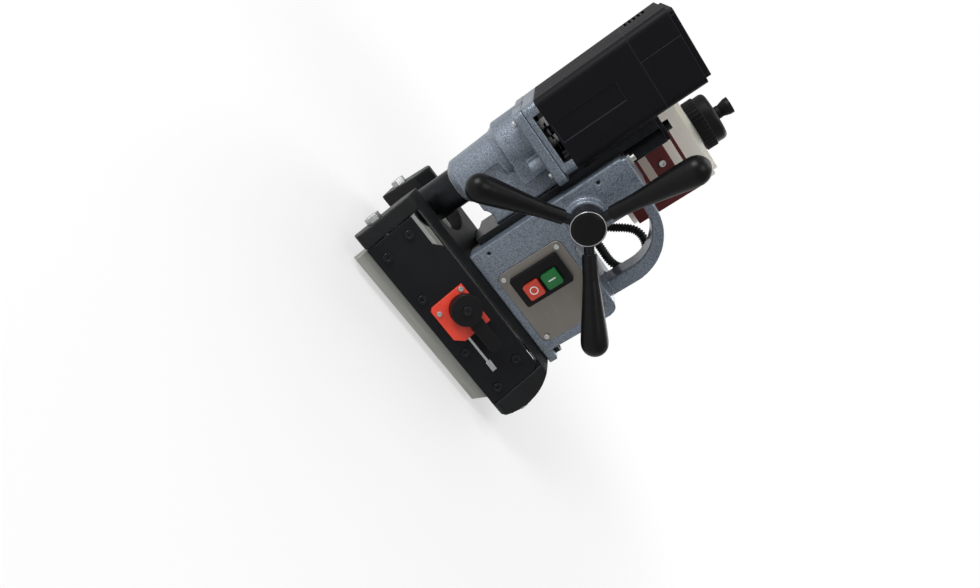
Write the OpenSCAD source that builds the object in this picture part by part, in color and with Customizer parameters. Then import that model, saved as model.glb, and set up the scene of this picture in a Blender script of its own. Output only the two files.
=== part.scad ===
// Magnetic pipe drill: motor, gearbox and spindle on a rack-fed dovetail slide,
// carried by a column on a splayed bridge with two swivelling switchable magnets.
// The drill axis is Z at x = 0, y = 0. The front faces -X, the feed wheel and switches face -Y.

/* [Base] */
// Angle of each magnet from upright
splay = 25; // [20:1:30]
// Distance of each magnet swivel axis from the middle plane
pivot_y = 61; // [60:1:70]
// Radius of the swivel bolts
pivot_r = 5; // [4:0.5:6]
// Front face of the front legs
base_front = -27.5; // [-32:0.5:-26]
// Length of the bridge from its front face to its rear face
base_len = 240; // [238:1:252]
// Thickness of each front leg along the bridge
leg_len = 15.5; // [12:0.5:18]
// Thickness of each rear leg along the bridge
rear_leg_len = 23.5; // [20:0.5:26]
// Thickness of each leg across its slope
leg_t = 22; // [18:1:24]
// Height of the deck that the column stands on
deck_z = 87; // [86:0.5:92]
// Thickness of the deck
deck_t = 14; // [11:0.5:15]
// Width of the deck top
deck_w = 88; // [86:1:96]
// Radius of the round notch around the arbor
notch_r = 37; // [32:0.5:38]
// Radius of the arch of the rear legs
arch_r = 45; // [40:1:50]

/* [Magnets] */
// Thickness of each magnet block
block_t = 16; // [16:0.5:18]
// Thickness of the black side plates
plate_t = 5; // [4:0.5:6]
// Thickness of the pole shoes
shoe_t = 12; // [9:0.5:14]
// Distance of the lower edge of the pole shoes from the swivel axis
shoe_drop = 37; // [34:0.5:42]
// Radius of the turning magnet disc
rotor_r = 14; // [10:0.5:15]
// Position of the lever along the bridge
lever_x = 90; // [80:1:100]
// Length of the lever from its axis
lever_len = 52; // [40:1:58]
// Width of the lever bar
lever_w = 14; // [10:0.5:18]
// Radius of the lever hub
lever_hub_r = 15.5; // [14:0.5:17]

/* [Column] */
// Front face of the column
column_x = 57; // [56:0.5:58]
// Depth of the upper column from front to rear
column_d = 49; // [48:0.5:54]
// Height of the column top
column_top = 263; // [255:1:280]
// Width of the column housing
housing_w = 84; // [80:1:88]
// Distance from the rear of the housing to the rear of the bridge
housing_back = 26.5; // [24:0.5:30]
// Height of the top of the lower housing
body_top = 178; // [176:1:182]
// Radius of the outer curve of the carrying handle
handle_r = 56; // [52:1:58]
// Radius of the inner curve of the carrying handle
handle_inner_r = 41; // [36:1:43]
// Width of the carrying handle
handle_w = 26; // [20:1:32]
// Distance from the control panel to the rear of the housing
panel_end = 10; // [8:0.5:12]
// Height of the control panel
panel_h = 74; // [70:1:76]
// Length of the switch frame, upright
switch_h = 54; // [50:1:58]
// Width of the switch frame
switch_w = 34; // [30:1:38]

/* [Feed] */
// Height of the feed shaft
feed_z = 203; // [198:1:208]
// Gear module of the rack and its pinion
feed_module = 2; // [1.8:0.1:2.2]
// Number of teeth on the feed pinion
feed_teeth = 12; // [11:1:13]
// Radius of the feed shaft
feed_shaft_r = 8; // [7:0.5:8.5]
// Radius of the feed hub
hub_r = 17; // [15:0.5:20]
// Bare length of each arm between the hub and its grip
arm_bare = 9.35; // [6:0.5:16]
// Angle of the arms away from the column
arm_lean = 17; // [14:1:22]
// Largest radius of a grip
grip_r = 13; // [11:0.5:14]
// Rest angle of the first arm from upright
arm_turn = 0; // [-30:1:30]

/* [Slide] */
// Thickness of the slide plate behind the gearbox
slide_t = 7; // [6:0.5:9]
// Width of the slide plate
slide_w = 56; // [50:1:60]
// Length of the slide
slide_len = 201; // [190:1:215]
// Height of the lower end of the slide
slide_z = 100; // [98:1:104]
// Depth of the dovetail
dovetail_d = 15.5; // [14:0.5:17]
// Half width of the dovetail at its neck
dovetail_neck = 15; // [13:0.5:17]
// Angle of the dovetail flanks
dovetail_angle = 30; // [25:1:34]
// Width of the rack
rack_w = 16; // [12:1:20]
// Thickness of the gib strip
gib_t = 5; // [4:0.5:6]

/* [Gearbox and spindle] */
// Height of the lower end of the gearbox
gear_low = 112; // [110:1:116]
// Radius of the lower gearbox
gear_low_r = 26.5; // [26:0.5:29]
// Radius of the upper gearbox
gear_up_r = 31.5; // [30:0.5:34]
// Height of the top face of the gearbox flange
flange_top = 209; // [208:0.5:212]
// Thickness of the gearbox lid
lid_t = 14; // [13:0.5:18]
// Radius of the arbor
arbor_r = 19; // [16:0.5:21]
// Length of the arbor below the gearbox
arbor_len = 50; // [45:1:56]
// Bore of the cutter socket
socket_d = 19.05; // [16:0.05:22]
// Depth of the cutter socket
socket_len = 42; // [30:1:44]
// Radius of the spindle in its bearings
spindle_r = 12.5; // [11:0.5:13]

/* [Motor] */
// Length of the motor from front to rear
motor_l = 74.5; // [73:0.5:76]
// Width of the motor
motor_w = 84; // [80:1:88]
// Corner radius of the motor
motor_round = 7; // [5:0.5:10]
// Length of the motor body below its end cap
motor_h = 93; // [90:1:105]
// Length of the motor end cap
cap_h = 44; // [42:1:50]
// Radius of the field pack
field_r = 32; // [30:0.5:33]
// Radius of the armature
armature_r = 21; // [18:0.5:22]

/* [Coolant bottle] */
// Width of the bottle along the machine
bottle_l = 102; // [90:1:110]
// Depth of the bottle across the machine
bottle_d = 56; // [48:1:66]
// Height of the bottle up to its shoulder
bottle_h = 103; // [90:1:110]
// Height of the underside of the bottle
bottle_z = 226; // [222:1:232]
// Radius of the ribbed cap
bottle_cap_r = 28; // [22:0.5:30]

/* [Conduit] */
// Outer radius of the ribbed conduit
conduit_r = 4.75; // [4.5:0.25:5]
// Number of ribs along the conduit
conduit_ribs = 110; // [60:1:130]

/* [Hidden] */
$fn = 64;
hammertone = [0.47, 0.51, 0.57];
black = [0.11, 0.11, 0.13];
steel = [0.65, 0.67, 0.64];
red = [0.9, 0.27, 0.2];

// Running clearance of shafts, of flat slides, and between curved faces of different bodies
run = 0.05;
slip = 0.1;
gap = 0.3;
// Overshoot of a cut past the face that it opens
cut = 1;
// Overlap that joins two solids of one piece
lap = 0.5;

// Base: places in the slope of a magnet, as drop along the slope and distance outward
leg_half = leg_t/2;
leg_drop = 24;
shoulder_rise = 38.5;
leg_bevel = 3;
bolt_sink = 4;
arch_rise = 8;
scallop_r = 12;
scallop_x = 22;
scallop_drop = 4;
scallop_in = 6;
seat_room = 2;
block_out = 6;
end_gap = 1;
block_in = block_t - block_out;
shoe_in = block_in + shoe_t;
pivot_z = shoe_drop*cos(splay) + shoe_in*sin(splay);
base_rear = base_front + base_len;
block_x0 = base_front + leg_len + end_gap;
rear_leg_x = base_rear - rear_leg_len;
block_x1 = rear_leg_x - end_gap;
bolt_seat_x = base_rear - bolt_sink;
pivot_reach = 17;
pivot_head_r = 8;
pivot_head_t = 6;
plate_step_x = 22;
plate_front_up = 28;
plate_up = 36;
block_up = 32;
block_down = 23;
plate_face = block_out + plate_t;
lever_up = 13;
lever_shaft_r = 6;
lever_plate_t = 3;
lever_plate_l = 47;
lever_plate_in = 21;
lever_plate_x = lever_x - lever_plate_in;
lever_plate_up = 26;
lever_plate_down = 14;
rotor_back = 1.5;
shoe_up = 16;
shoe_toe = 3;
shoe_bevel = 35;
shoe_cut = 13;
plate_corner = 6;
plate_slope = 9;
edge_bevel = 10;
edge_bevel_t = 2.5;
plate_head = 2.5;
red_corner = 3;
red_corner_low = 8;
red_head = 1.6;
shaft_end = 3;
bar_top = 9.5;
bar_under = 2.3;
lever_head = 2.2;
lever_face = plate_face + lever_plate_t;
hub_depth = 12;
plate_screw_r = 2.5;
small_screw_r = 1.5;
front_screw = [12, 16];
low_front_screw = [16, -13];
rear_screw = [12, -10];
high_rear_screw = [22, 22];
mid_screw_front = 33;
mid_screw_rear = 36;
plate_screw_spots = [[block_x0 + front_screw[0], front_screw[1]],
                     [block_x0 + low_front_screw[0], low_front_screw[1]],
                     [block_x1 - rear_screw[0], rear_screw[1]],
                     [block_x1 - high_rear_screw[0], high_rear_screw[1]],
                     [lever_x - mid_screw_front, low_front_screw[1]],
                     [lever_x + mid_screw_rear, low_front_screw[1]]];
red_screw_high = [17.5, 22];
red_screw_low = [12, -9];
lever_plate_spots = [for (p = [red_screw_high, red_screw_low]) [lever_x - p[0], p[1]]];

// Column and slide
column_rear = column_x + column_d;
housing_rear = base_rear - housing_back;
half = housing_w/2;
slide_gap = 0.5;
slide_back = column_x - slide_gap;
slide_x = slide_back - slide_t;
dovetail_back = column_x + dovetail_d;
groove_room = 1;
groove_back = dovetail_back + groove_room;
feed_pitch_r = feed_module*feed_teeth/2;
feed_angle = 25;
feed_add = 0.95*feed_module;
feed_ded = 1.2*feed_module;
feed_slack = 0.3;
rack_proud = 0.7;
rack_root_x = dovetail_back + rack_proud;
rack_pitch_x = rack_root_x + feed_ded;
rack_sink = 6.5;
rack_seat_x = dovetail_back - rack_sink;
feed_x = rack_pitch_x + feed_pitch_r;
rack_pitch = PI*feed_module;
rack_in = 2;
rack_over = 26;
rack_low = slide_z + rack_in;
rack_top = feed_z + rack_over;
bush_wall = 3;
bush_r = feed_shaft_r + bush_wall;
top_screw_x = (column_x + groove_back)/2 + slide_gap;
top_screw_r = 3;
top_screw_l = 11;
top_head = 6;
top_plate_t = 4;
top_plate_in = 6;
chamber_room = 5;
chamber_w = rack_w + chamber_room;
rack_room = 1.5;
boss_r = 19.5;
boss_out = 8;
boss_y = half + boss_out;
bush_in = 18;
bush_end = half - bush_in;
hub_gap = 1.5;
hub_back = boss_y + hub_gap;
hub_t = 21;
arm_r = 5;
arm_y = hub_back + hub_t/2;
grip_len = 96;
grip_cap = 9;
grip_neck_r = 7;
grip_waist_r = 7.6;
grip_swell = 24;
grip_ease = 0.6;
grip_blend = 8;
arm_root = 12;
hub_wall = 4;
hub_pin_r = 2.5;
hub_rim = 1.5;
hub_cap_r = hub_r - hub_rim;
hub_cap_t = 1.6;
handle_in = 4;
handle_x = housing_rear - handle_in - handle_r;
handle_z = column_top - handle_in - handle_r;
inner_back = 2;
inner_up = 5;
inner_x = handle_x - inner_back;
inner_z = handle_z + inner_up;
panel_in = 17;
panel_x = column_rear - panel_in;
panel_l = housing_rear - panel_end - panel_x;
panel_up = 9;
panel_z = deck_z + panel_up;
panel_t = 3;
panel_mid_z = panel_z + panel_h/2;
switch_in = 26;
switch_x = panel_x + switch_in;
switch_depth = 26;
switch_lip = 5;
switch_rim_x = 3;
switch_rim_z = 4;
frame_round = 2.5;
panel_round = 8;
panel_head = 1.8;
button_well = 7;
button_in = 2.5;
button_w = 17;
button_round = 2;
button_x = switch_x + switch_rim_x;
button_gap = 21;
start_z = panel_mid_z + button_gap/2;
stop_z = panel_mid_z - button_gap/2;
button_out = 4;
panel_screw_in = 6;
panel_spots = [for (x = [panel_screw_in, panel_l - panel_screw_in],
                    z = [panel_screw_in, panel_h - panel_screw_in]) [panel_x + x, panel_z + z]];
gib_low = 19;
gib_high = 33;
gib_spots = [deck_z + gib_low, (deck_z + column_top)/2, column_top - gib_high];
gib_screw_r = 2;
gib_seat = 1;
gib_screw_end = -dovetail_neck - gib_t - gib_seat;
lip_l = 12;
lip_h = 10;
lip_head = 5;
top_step = 6;
top_inset = 2;
body_round = 10;
handle_root = 20;
handle_sink = 5;
screw_hole = 12;
keeper_t = 3;
keeper_h = 4;
keeper_in = 5;
keeper_w = 11;
keeper_bolt_in = 9.5;
keeper_bolt_r = 3.4;
gib_end = 1;
gib_key_r = 1.1;
bolt_r = 3;
bolt_y = 29;
lip_bolt_x = housing_rear + lip_l/2;

// Gear train: the armature pinion turns the layshaft, and the layshaft pinion turns the spindle
train_angle = 25;
first_module = 1;
first_pinion = 8;
first_gear = 29;
last_module = 1.5;
last_pinion = 8;
last_gear = 26;
lay_x = last_module*(last_pinion + last_gear)/2;
motor_x = lay_x - first_module*(first_pinion + first_gear)/2;
train_slack = 0.24;
stub = 0.72;
root = 1;
flange_t = 10;
flange_z = flange_top - flange_t;
waist_h = 27;
waist_z = flange_z - waist_h;
lid_top = flange_top + lid_t;
seam_z = lid_top + motor_h;
motor_top = seam_z + cap_h;
motor_front = -30;
motor_mid = motor_front + motor_l/2;
gear_w = 86;
web_w = 44;
foot_h = 6;
foot_in = 7;
step_in = 2;
ear_r = 9;
ear_h = 14;
ear_back = 27;
ear_out = 7;
ear_web = 10;
web_up = 10;
web_arch_r = 13;
web_arch_in = 8;
web_arch_up = 2;
recess_l = 21;
recess_low = 18;
recess_top = 10;
shaft_room = 2;
side_recess = 3;
gear_room = 2.5;
exhaust_h = 8;
exhaust_w = 50;
exhaust_in = 18;
seat_r = 9;
seat_t = 6;
seat_drop = 5;
lay_seat_r = 7;
lay_tip_r = 4;
bearing_r = 11;
lay_r = 5;
big_bearing_r = 20;
low_bearing_r = 19;
bearing_t = 9;
last_gear_up = 7;
last_gear_z = waist_z + last_gear_up;
last_gear_t = 14;
gear_apart = 4;
first_gear_z = last_gear_z + last_gear_t + gear_apart;
first_gear_t = 8;
armature_low = first_gear_z - lap;
spindle_top = last_gear_z + last_gear_t + 2*lap;
bearing_up = 3;
lay_bearing_z = waist_z - bearing_t + bearing_up;
bearing_apart = 2;
spindle_bearing_z = lay_bearing_z - bearing_t - bearing_apart;
top_bearing_in = 22;
top_bearing_z = motor_top - top_bearing_in;
arbor_low = gear_low - gap - arbor_len;
lock_r = 3.5;
lock_up = 17;
lock_key_r = 2;
lock_key = 4;
arbor_bevel = 2;
case_screw_in = 8;
case_screw_x = motor_l/2 - case_screw_in;
case_screw_y = motor_w/2 - case_screw_in;
case_screw_r = 2;
case_head = 3;
motor_panel_x = -3.5;
vents = 5;
vent_up = 6;
vent_z = seam_z + vent_up;
vent_pitch = 4.6;
vent_h = 2.6;
vent_deep = 20;
vent_y = 10;
vent_w = 22;
groove_d = 1.2;
groove_y = 3;
groove_w = 2;
panel_line = 0.8;
motor_panel_l = 19.5;
panel_drop = 26;
screw_grip = 12;
top_round = 5;
top_in = 8;
end_wall = 3;
field_low = 24;
field_high = 16;
field_z = lid_top + field_low;
field_h = motor_h - field_low - field_high;
air_gap = 0.8;
core_end = 2;
pinion_neck_r = 2.9;
pinion_neck = 3;
commutator_r = 14;
commutator_l = 22;
fan_up = 4;
fan_room = 6;
fan_z = lid_top + fan_up;
fan_r = field_r - fan_room;
fan_t = 2.5;
fan_hub_r = 12;
fan_blades = 12;
blade_x = 10;
blade_t = 1.6;
blade_h = 11;

// Bottle
bracket_t = 2.5;
bracket_face = half + bracket_t;
bracket_l = 78;
bracket_in = 15;
bracket_down = 30;
bracket_x = column_x + bracket_in;
bracket_low = column_top - bracket_down;
bracket_h = 74;
bracket_screw_in = 8;
bracket_screw_pitch = 18;
bracket_spots = [for (i = [0, 1])
    [bracket_x + bracket_screw_in + bracket_screw_pitch*i, column_top - bracket_down/2]];
bracket_screw_r = 2.5;
bracket_head = 2.5;
slot_r = 4.5;
slot_in = 14;
slot_low = 7;
slot_high = 8;
spacer_screw_r = 2;
spacer_l = 36;
spacer_h = 16;
spacer_up = 22;
spacer_z = column_top + spacer_up;
spacer_d = 16;
bottle_y = bracket_face + spacer_d;
bottle_shift = 4;
bottle_x = bracket_x + bracket_l/2 - bottle_shift;
bottle_top = bottle_z + bottle_h;
bottle_wall = 2;
shoulder = 5;
bottle_round = 14;
neck_r = 20;
neck_h = 14;
cap_y = bottle_y + bottle_d/2;
cap_gap = 1;
cap_base = bottle_top + cap_gap;
ring_h = 13;
cap_ribs = 36;
cap_rib_r = 1.1;
cap_rib_in = 0.6;
dome_h = 12;
dome_r = bottle_cap_r - 1.5;
dome_round = 5;
nozzle_h = 5;
spout_r = 9;
spout_h = 12;
spout_tip = 4;
spout_bore_r = 2;
stem_r = 5;
stem_low = 5;
spout_flare = 2.5;

// Conduit: gland on the rear of the column, a loop in the handle's opening, and on to the motor
gland_r = 8;
gland_l = 12;
gland_hole = 10;
gland_sink = 9;
gland_gap = 0.4;
lead = 24;
loop_r = 21;
loop_x = 160;
loop_drift = 0.05;
bend_r = 22;
bend_lean = 37;
bend_lead = 6.4;
bend_out = gland_l + bend_lead;
rib_depth = 1;
gland_y = 27;
gland_up = 9;
gland_spot = [column_rear, gland_y, body_top + gland_up];
motor_gland_x = 20;
motor_gland_up = 16;
motor_gland_spot = [motor_x + motor_gland_x, motor_w/2, lid_top + motor_gland_up];
conduit_bore = 0.6;

// Conduit points: a loop in the handle's opening, a way along the far side of the column chosen by hand,
// and a bend into the motor gland
function loop_point(a) = [loop_x + loop_r*cos(a), gland_spot[1] + loop_drift*max(0, a - 30),
                          gland_spot[2] + loop_r*(1 + sin(a))];
function bend_point(a) = motor_gland_spot + [0, bend_out, 0]
    + bend_r*[(1 - cos(a))*sin(bend_lean), sin(a), -(1 - cos(a))*cos(bend_lean)];
conduit_route = concat([for (x = [gland_l + gland_gap, lead, (lead + loop_x - column_rear)/2])
                        gland_spot + [x, 0, 0]],
                       [for (a = [-90:30:150]) loop_point(a)],
                       [[134.5, 36.5, 206.5], [126, 40.8, 196], [115, 45.8, 189.5], [102, 51, 187.5],
                        [88, 55.2, 189.5], [74, 60.5, 193.5], [61, 69, 200.5]],
                       [for (a = [120:-30:0]) bend_point(a)],
                       [motor_gland_spot + [0, gland_l + gland_gap, 0]]);

// Plain solids
module box(x0, x1, y0, y1, z0, z1) translate([x0, y0, z0]) cube([x1 - x0, y1 - y0, z1 - z0]);
module x_rod(r, x0, x1) translate([x0, 0, 0]) rotate([0, 90, 0]) cylinder(r = r, h = x1 - x0);
module y_rod(r, y0, y1) translate([0, y1, 0]) rotate([90, 0, 0]) cylinder(r = r, h = y1 - y0);
module tube(r, bore, h) difference() {
    cylinder(r = r, h = h);
    translate([0, 0, -cut]) cylinder(r = bore, h = h + 2*cut);
}
// A profile in Y and Z, drawn along X
module along_x(x0, x1) translate([x0, 0, 0]) rotate([90, 0, 90]) linear_extrude(x1 - x0) children();
// A profile in X and Z, drawn across Y from y0 to y1
module across_y(y0, y1) translate([0, y1, 0]) rotate([90, 0, 0]) linear_extrude(y1 - y0) children();
module round_rect(l, w, r) union() {
    square([l - 2*r, w], center = true);
    square([l, w - 2*r], center = true);
    for (x = [-1, 1], y = [-1, 1]) translate([x*(l/2 - r), y*(w/2 - r)]) circle(r = r);
}
// A copy at each place, given as x and z
module at_spots(spots) for (spot = spots) translate([spot[0], 0, spot[1]]) children();
// A socket screw whose head stands on the face at z = 0, with its shank below
module socket_screw(shank_r, shank_l, head_h) difference() {
    union() {
        cylinder(r = 1.7*shank_r, h = head_h);
        translate([0, 0, -shank_l]) cylinder(r = shank_r, h = shank_l + lap);
    }
    translate([0, 0, head_h*0.4]) cylinder(r = shank_r, h = head_h, $fn = 6);
}

// Involute gear outline with a tooth on the X axis
function involute_deg(r, base) = r <= base ? 0 : tan(acos(base/r))*180/PI - acos(base/r);
function flank_radii(base, root_r, tip) = let(start = max(base, root_r))
    concat(root_r < base ? [root_r] : [], [for (i = [0:5]) start + (tip - start)*i/5]);
function gear_points(m, n, angle, add, ded, slack) =
    let(pitch_r = m*n/2, base = pitch_r*cos(angle),
        half_deg = 90/n - slack/(2*pitch_r)*180/PI + involute_deg(pitch_r, base),
        radii = flank_radii(base, pitch_r - ded, pitch_r + add), last = len(radii) - 1)
    [for (t = [0:n - 1], i = [0:2*last + 1])
        let(rising = i <= last, r = radii[rising ? i : 2*last + 1 - i],
            a = 360*t/n + (rising ? -1 : 1)*(half_deg - involute_deg(r, base)))
        [r*cos(a), r*sin(a)]];
module train_gear(m, n, t) linear_extrude(t)
    polygon(gear_points(m, n, train_angle, stub*m, root*m, train_slack));

// The frame of a magnet: X along the swivel axis, Y toward the pipe, Z up the slope
module magnet_frame(side) mirror([0, side > 0 ? 1 : 0, 0])
    translate([0, -pivot_y, pivot_z]) rotate([-splay, 0, 0]) children();
function slope_point(drop, out) =
    [pivot_y + drop*sin(splay) + out*cos(splay), pivot_z - drop*cos(splay) + out*sin(splay)];
function both_sides(points) =
    concat(points, [for (i = [len(points) - 1:-1:0]) [-points[i][0], points[i][1]]]);
deck_side = [[deck_w/2, deck_z], slope_point(-shoulder_rise, leg_half),
             slope_point(-shoulder_rise, -leg_half)];
leg_side = [[deck_w/2, deck_z], slope_point(-shoulder_rise, leg_half),
            slope_point(leg_drop - leg_bevel, leg_half),
            slope_point(leg_drop, leg_half - leg_bevel), slope_point(leg_drop, -leg_half),
            slope_point(-shoulder_rise, -leg_half)];
deck_under = [[slope_point(-shoulder_rise, -leg_half)[0] - leg_bevel, deck_z - deck_t]];

module base_bridge() color(black) difference() {
    union() {
        along_x(base_front, base_rear) polygon(both_sides(concat(deck_side, deck_under)));
        along_x(base_front, base_front + leg_len) polygon(both_sides(concat(leg_side, deck_under)));
        along_x(rear_leg_x, base_rear) polygon(both_sides(concat(leg_side, deck_under)));
    }
    translate([0, 0, deck_z - 3*deck_t]) cylinder(r = notch_r, h = 4*deck_t);
    box(base_front - cut, 0, -notch_r, notch_r, deck_z - 3*deck_t, deck_z + cut);
    // Arched rear legs
    difference() {
        box(base_rear - arch_r, base_rear + cut, -2*pivot_y, 2*pivot_y, -cut, deck_z + cut);
        translate([base_rear - arch_r, 0, pivot_z + arch_rise])
            y_rod(arch_r, -2*pivot_y - cut, 2*pivot_y + cut);
    }
    // Scallop under the shoulder in front of each rear leg
    translate([rear_leg_x - scallop_x, 0, deck_z - deck_t - scallop_drop]) {
        y_rod(scallop_r, -2*pivot_y, -deck_w/2 + scallop_in);
        y_rod(scallop_r, deck_w/2 - scallop_in, 2*pivot_y);
    }
    for (side = [-1, 1]) {
        magnet_frame(side) {
            x_rod(pivot_r, base_front - cut, base_rear + cut);
            x_rod(pivot_head_r + seat_room, bolt_seat_x, base_rear + cut);
        }
        translate([lip_bolt_x, side*bolt_y, deck_z - deck_t - cut]) cylinder(r = bolt_r, h = deck_t + 2*cut);
    }
}

// Hexagon-head shoulder bolts, held in the legs, on which the magnets swivel
module pivot_bolt(shank) union() {
    x_rod(pivot_r, -cut, shank);
    translate([-pivot_head_t, 0, 0]) rotate([0, 90, 0]) cylinder(r = pivot_head_r, h = pivot_head_t, $fn = 6);
}
module pivot_bolts() color(steel) for (side = [-1, 1]) magnet_frame(side) {
    translate([base_front, 0, 0]) pivot_bolt(block_x0 + pivot_reach - base_front);
    translate([bolt_seat_x, 0, 0]) mirror([1, 0, 0]) pivot_bolt(bolt_seat_x - block_x1 + pivot_reach);
}

module magnet_block(side) color(steel) magnet_frame(side) difference() {
    box(block_x0, block_x1, -block_out, block_in, -block_down, block_up);
    x_rod(pivot_r + run, block_x0 - cut, block_x0 + pivot_reach + cut);
    x_rod(pivot_r + run, block_x1 - pivot_reach - cut, block_x1 + cut);
    translate([lever_x, 0, lever_up]) {
        y_rod(rotor_r + gap, -rotor_back, block_in + cut);
        y_rod(lever_shaft_r + run, -block_out - cut, 0);
    }
    at_spots(plate_screw_spots) y_rod(plate_screw_r, -block_out - cut, 0);
}

module pole_shoe(side) color(steel) magnet_frame(side) difference() {
    along_x(block_x0 + end_gap, block_x1 - end_gap)
        polygon([[block_in, shoe_up], [shoe_in, shoe_up], [shoe_in, -shoe_drop], [shoe_toe, -shoe_drop],
                 [shoe_toe, -block_down], [block_in, -block_down]]);
    // Bevelled rear end
    translate([block_x1 - end_gap - shoe_cut, -cut, -shoe_drop]) rotate([0, shoe_bevel, 0])
        translate([0, 0, -shoe_drop]) cube([shoe_drop, shoe_in + 2*cut, 2*shoe_drop]);
}

module side_plate(side) color(black) magnet_frame(side) difference() {
    across_y(-plate_face, -block_out)
        polygon([[block_x0, -leg_drop], [block_x1, -leg_drop], [block_x1, plate_up - plate_corner],
                 [block_x1 - plate_corner, plate_up], [plate_step_x + plate_slope, plate_up],
                 [plate_step_x, plate_front_up], [block_x0, plate_front_up]]);
    // Bevel along the lower edge
    along_x(block_x0 - cut, block_x1 + cut)
        polygon([[-plate_face - cut, -leg_drop - cut], [-plate_face - cut, edge_bevel - leg_drop],
                 [-plate_face, edge_bevel - leg_drop], [edge_bevel_t - plate_face, -leg_drop - cut]]);
    translate([lever_x, 0, lever_up]) y_rod(lever_shaft_r + run, -plate_face - cut, 0);
    at_spots(plate_screw_spots) y_rod(plate_screw_r, -plate_face - cut, 0);
    at_spots(lever_plate_spots) y_rod(small_screw_r, -plate_face - cut, 0);
}

module plate_screws(side) color(black) magnet_frame(side) at_spots(plate_screw_spots)
    translate([0, -plate_face, 0]) rotate([90, 0, 0]) socket_screw(plate_screw_r, plate_face - 1, plate_head);

module lever_plate(side) color(red) magnet_frame(side) difference() {
    across_y(-lever_face, -plate_face)
        polygon([[lever_plate_x, red_corner - lever_plate_down],
                 [lever_plate_x + red_corner, -lever_plate_down],
                 [lever_plate_x + lever_plate_l - red_corner_low, -lever_plate_down],
                 [lever_plate_x + lever_plate_l, red_corner_low - lever_plate_down],
                 [lever_plate_x + lever_plate_l, lever_plate_up], [lever_plate_x, lever_plate_up]]);
    translate([lever_x, 0, lever_up]) y_rod(lever_shaft_r + run, -lever_face - cut, 0);
    at_spots(lever_plate_spots) y_rod(small_screw_r, -lever_face - cut, 0);
}

module lever_plate_screws(side) color(steel) magnet_frame(side) at_spots(lever_plate_spots)
    translate([0, -lever_face, 0]) rotate([90, 0, 0])
    socket_screw(small_screw_r, lever_face - block_out, red_head);

// The magnet disc and the shaft that the lever turns it by
module magnet_rotor(side) color(steel) magnet_frame(side) translate([lever_x, 0, lever_up]) union() {
    y_rod(rotor_r, gap - rotor_back, block_in - gap);
    y_rod(lever_shaft_r, -lever_face - hub_depth + shaft_end, 0);
}

module lever(side) color(black) magnet_frame(side) translate([lever_x, -lever_face - gap, lever_up])
difference() {
    union() {
        y_rod(lever_hub_r, -hub_depth, 0);
        across_y(-bar_top, -bar_under) union() {
            translate([0, -lever_w/2]) square([lever_len - lever_w/2, lever_w]);
            translate([lever_len - lever_w/2, 0]) circle(r = lever_w/2);
        }
    }
    y_rod(lever_shaft_r, -hub_depth + shaft_end + gap, cut);
    y_rod(plate_screw_r, -hub_depth - cut, 0);
}

module lever_screw(side) color(steel) magnet_frame(side)
    translate([lever_x, -lever_face - gap - hub_depth, lever_up]) rotate([90, 0, 0])
    socket_screw(plate_screw_r, shaft_end - 0.4, lever_head);

// Column housing outlines in X and Z
module column_outline() union() {
    translate([column_x, deck_z]) square([column_d, column_top - deck_z - top_step + cut]);
    translate([column_x + top_inset, column_top - top_step]) square([column_d - top_inset, top_step]);
}
module body_outline() union() {
    translate([column_x, deck_z]) square([housing_rear - column_x, body_top - deck_z - body_round]);
    translate([column_x, deck_z]) square([housing_rear - column_x - body_round, body_top - deck_z]);
    translate([housing_rear - body_round, body_top - body_round]) circle(r = body_round);
    translate([column_x, deck_z]) square([housing_rear - column_x + lip_l, lip_h]);
}
module handle_outline() difference() {
    union() {
        translate([column_x + column_d/2, body_top])
            square([handle_x - column_x - column_d/2, handle_z + handle_r - body_top]);
        translate([handle_x, handle_z]) circle(r = handle_r);
        translate([handle_x, body_top - handle_root]) square([handle_r, handle_z - body_top + handle_root]);
    }
    translate([inner_x, inner_z]) circle(r = handle_inner_r);
    translate([column_x + column_d/2, body_top - handle_sink])
        square([inner_x - column_x - column_d/2, inner_z + handle_inner_r - body_top + handle_sink]);
    translate([column_x + column_d/2, body_top - handle_sink])
        square([inner_x + handle_inner_r - column_x - column_d/2, inner_z - body_top + handle_sink]);
    square([handle_x + handle_r + cut, body_top - handle_root]);
    square([column_x + column_d/2, column_top]);
}

// Dovetail outline in X and Y, with its flanks moved out by grow_near and grow_far
function dovetail_half(x) = dovetail_neck + (x - column_x)*tan(dovetail_angle);
module dovetail_outline(x0, x1, grow_near, grow_far)
    polygon([[x0, dovetail_half(x0) + grow_far], [x1, dovetail_half(x1) + grow_far],
             [x1, -dovetail_half(x1) - grow_near], [x0, -dovetail_half(x0) - grow_near]]);

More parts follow.
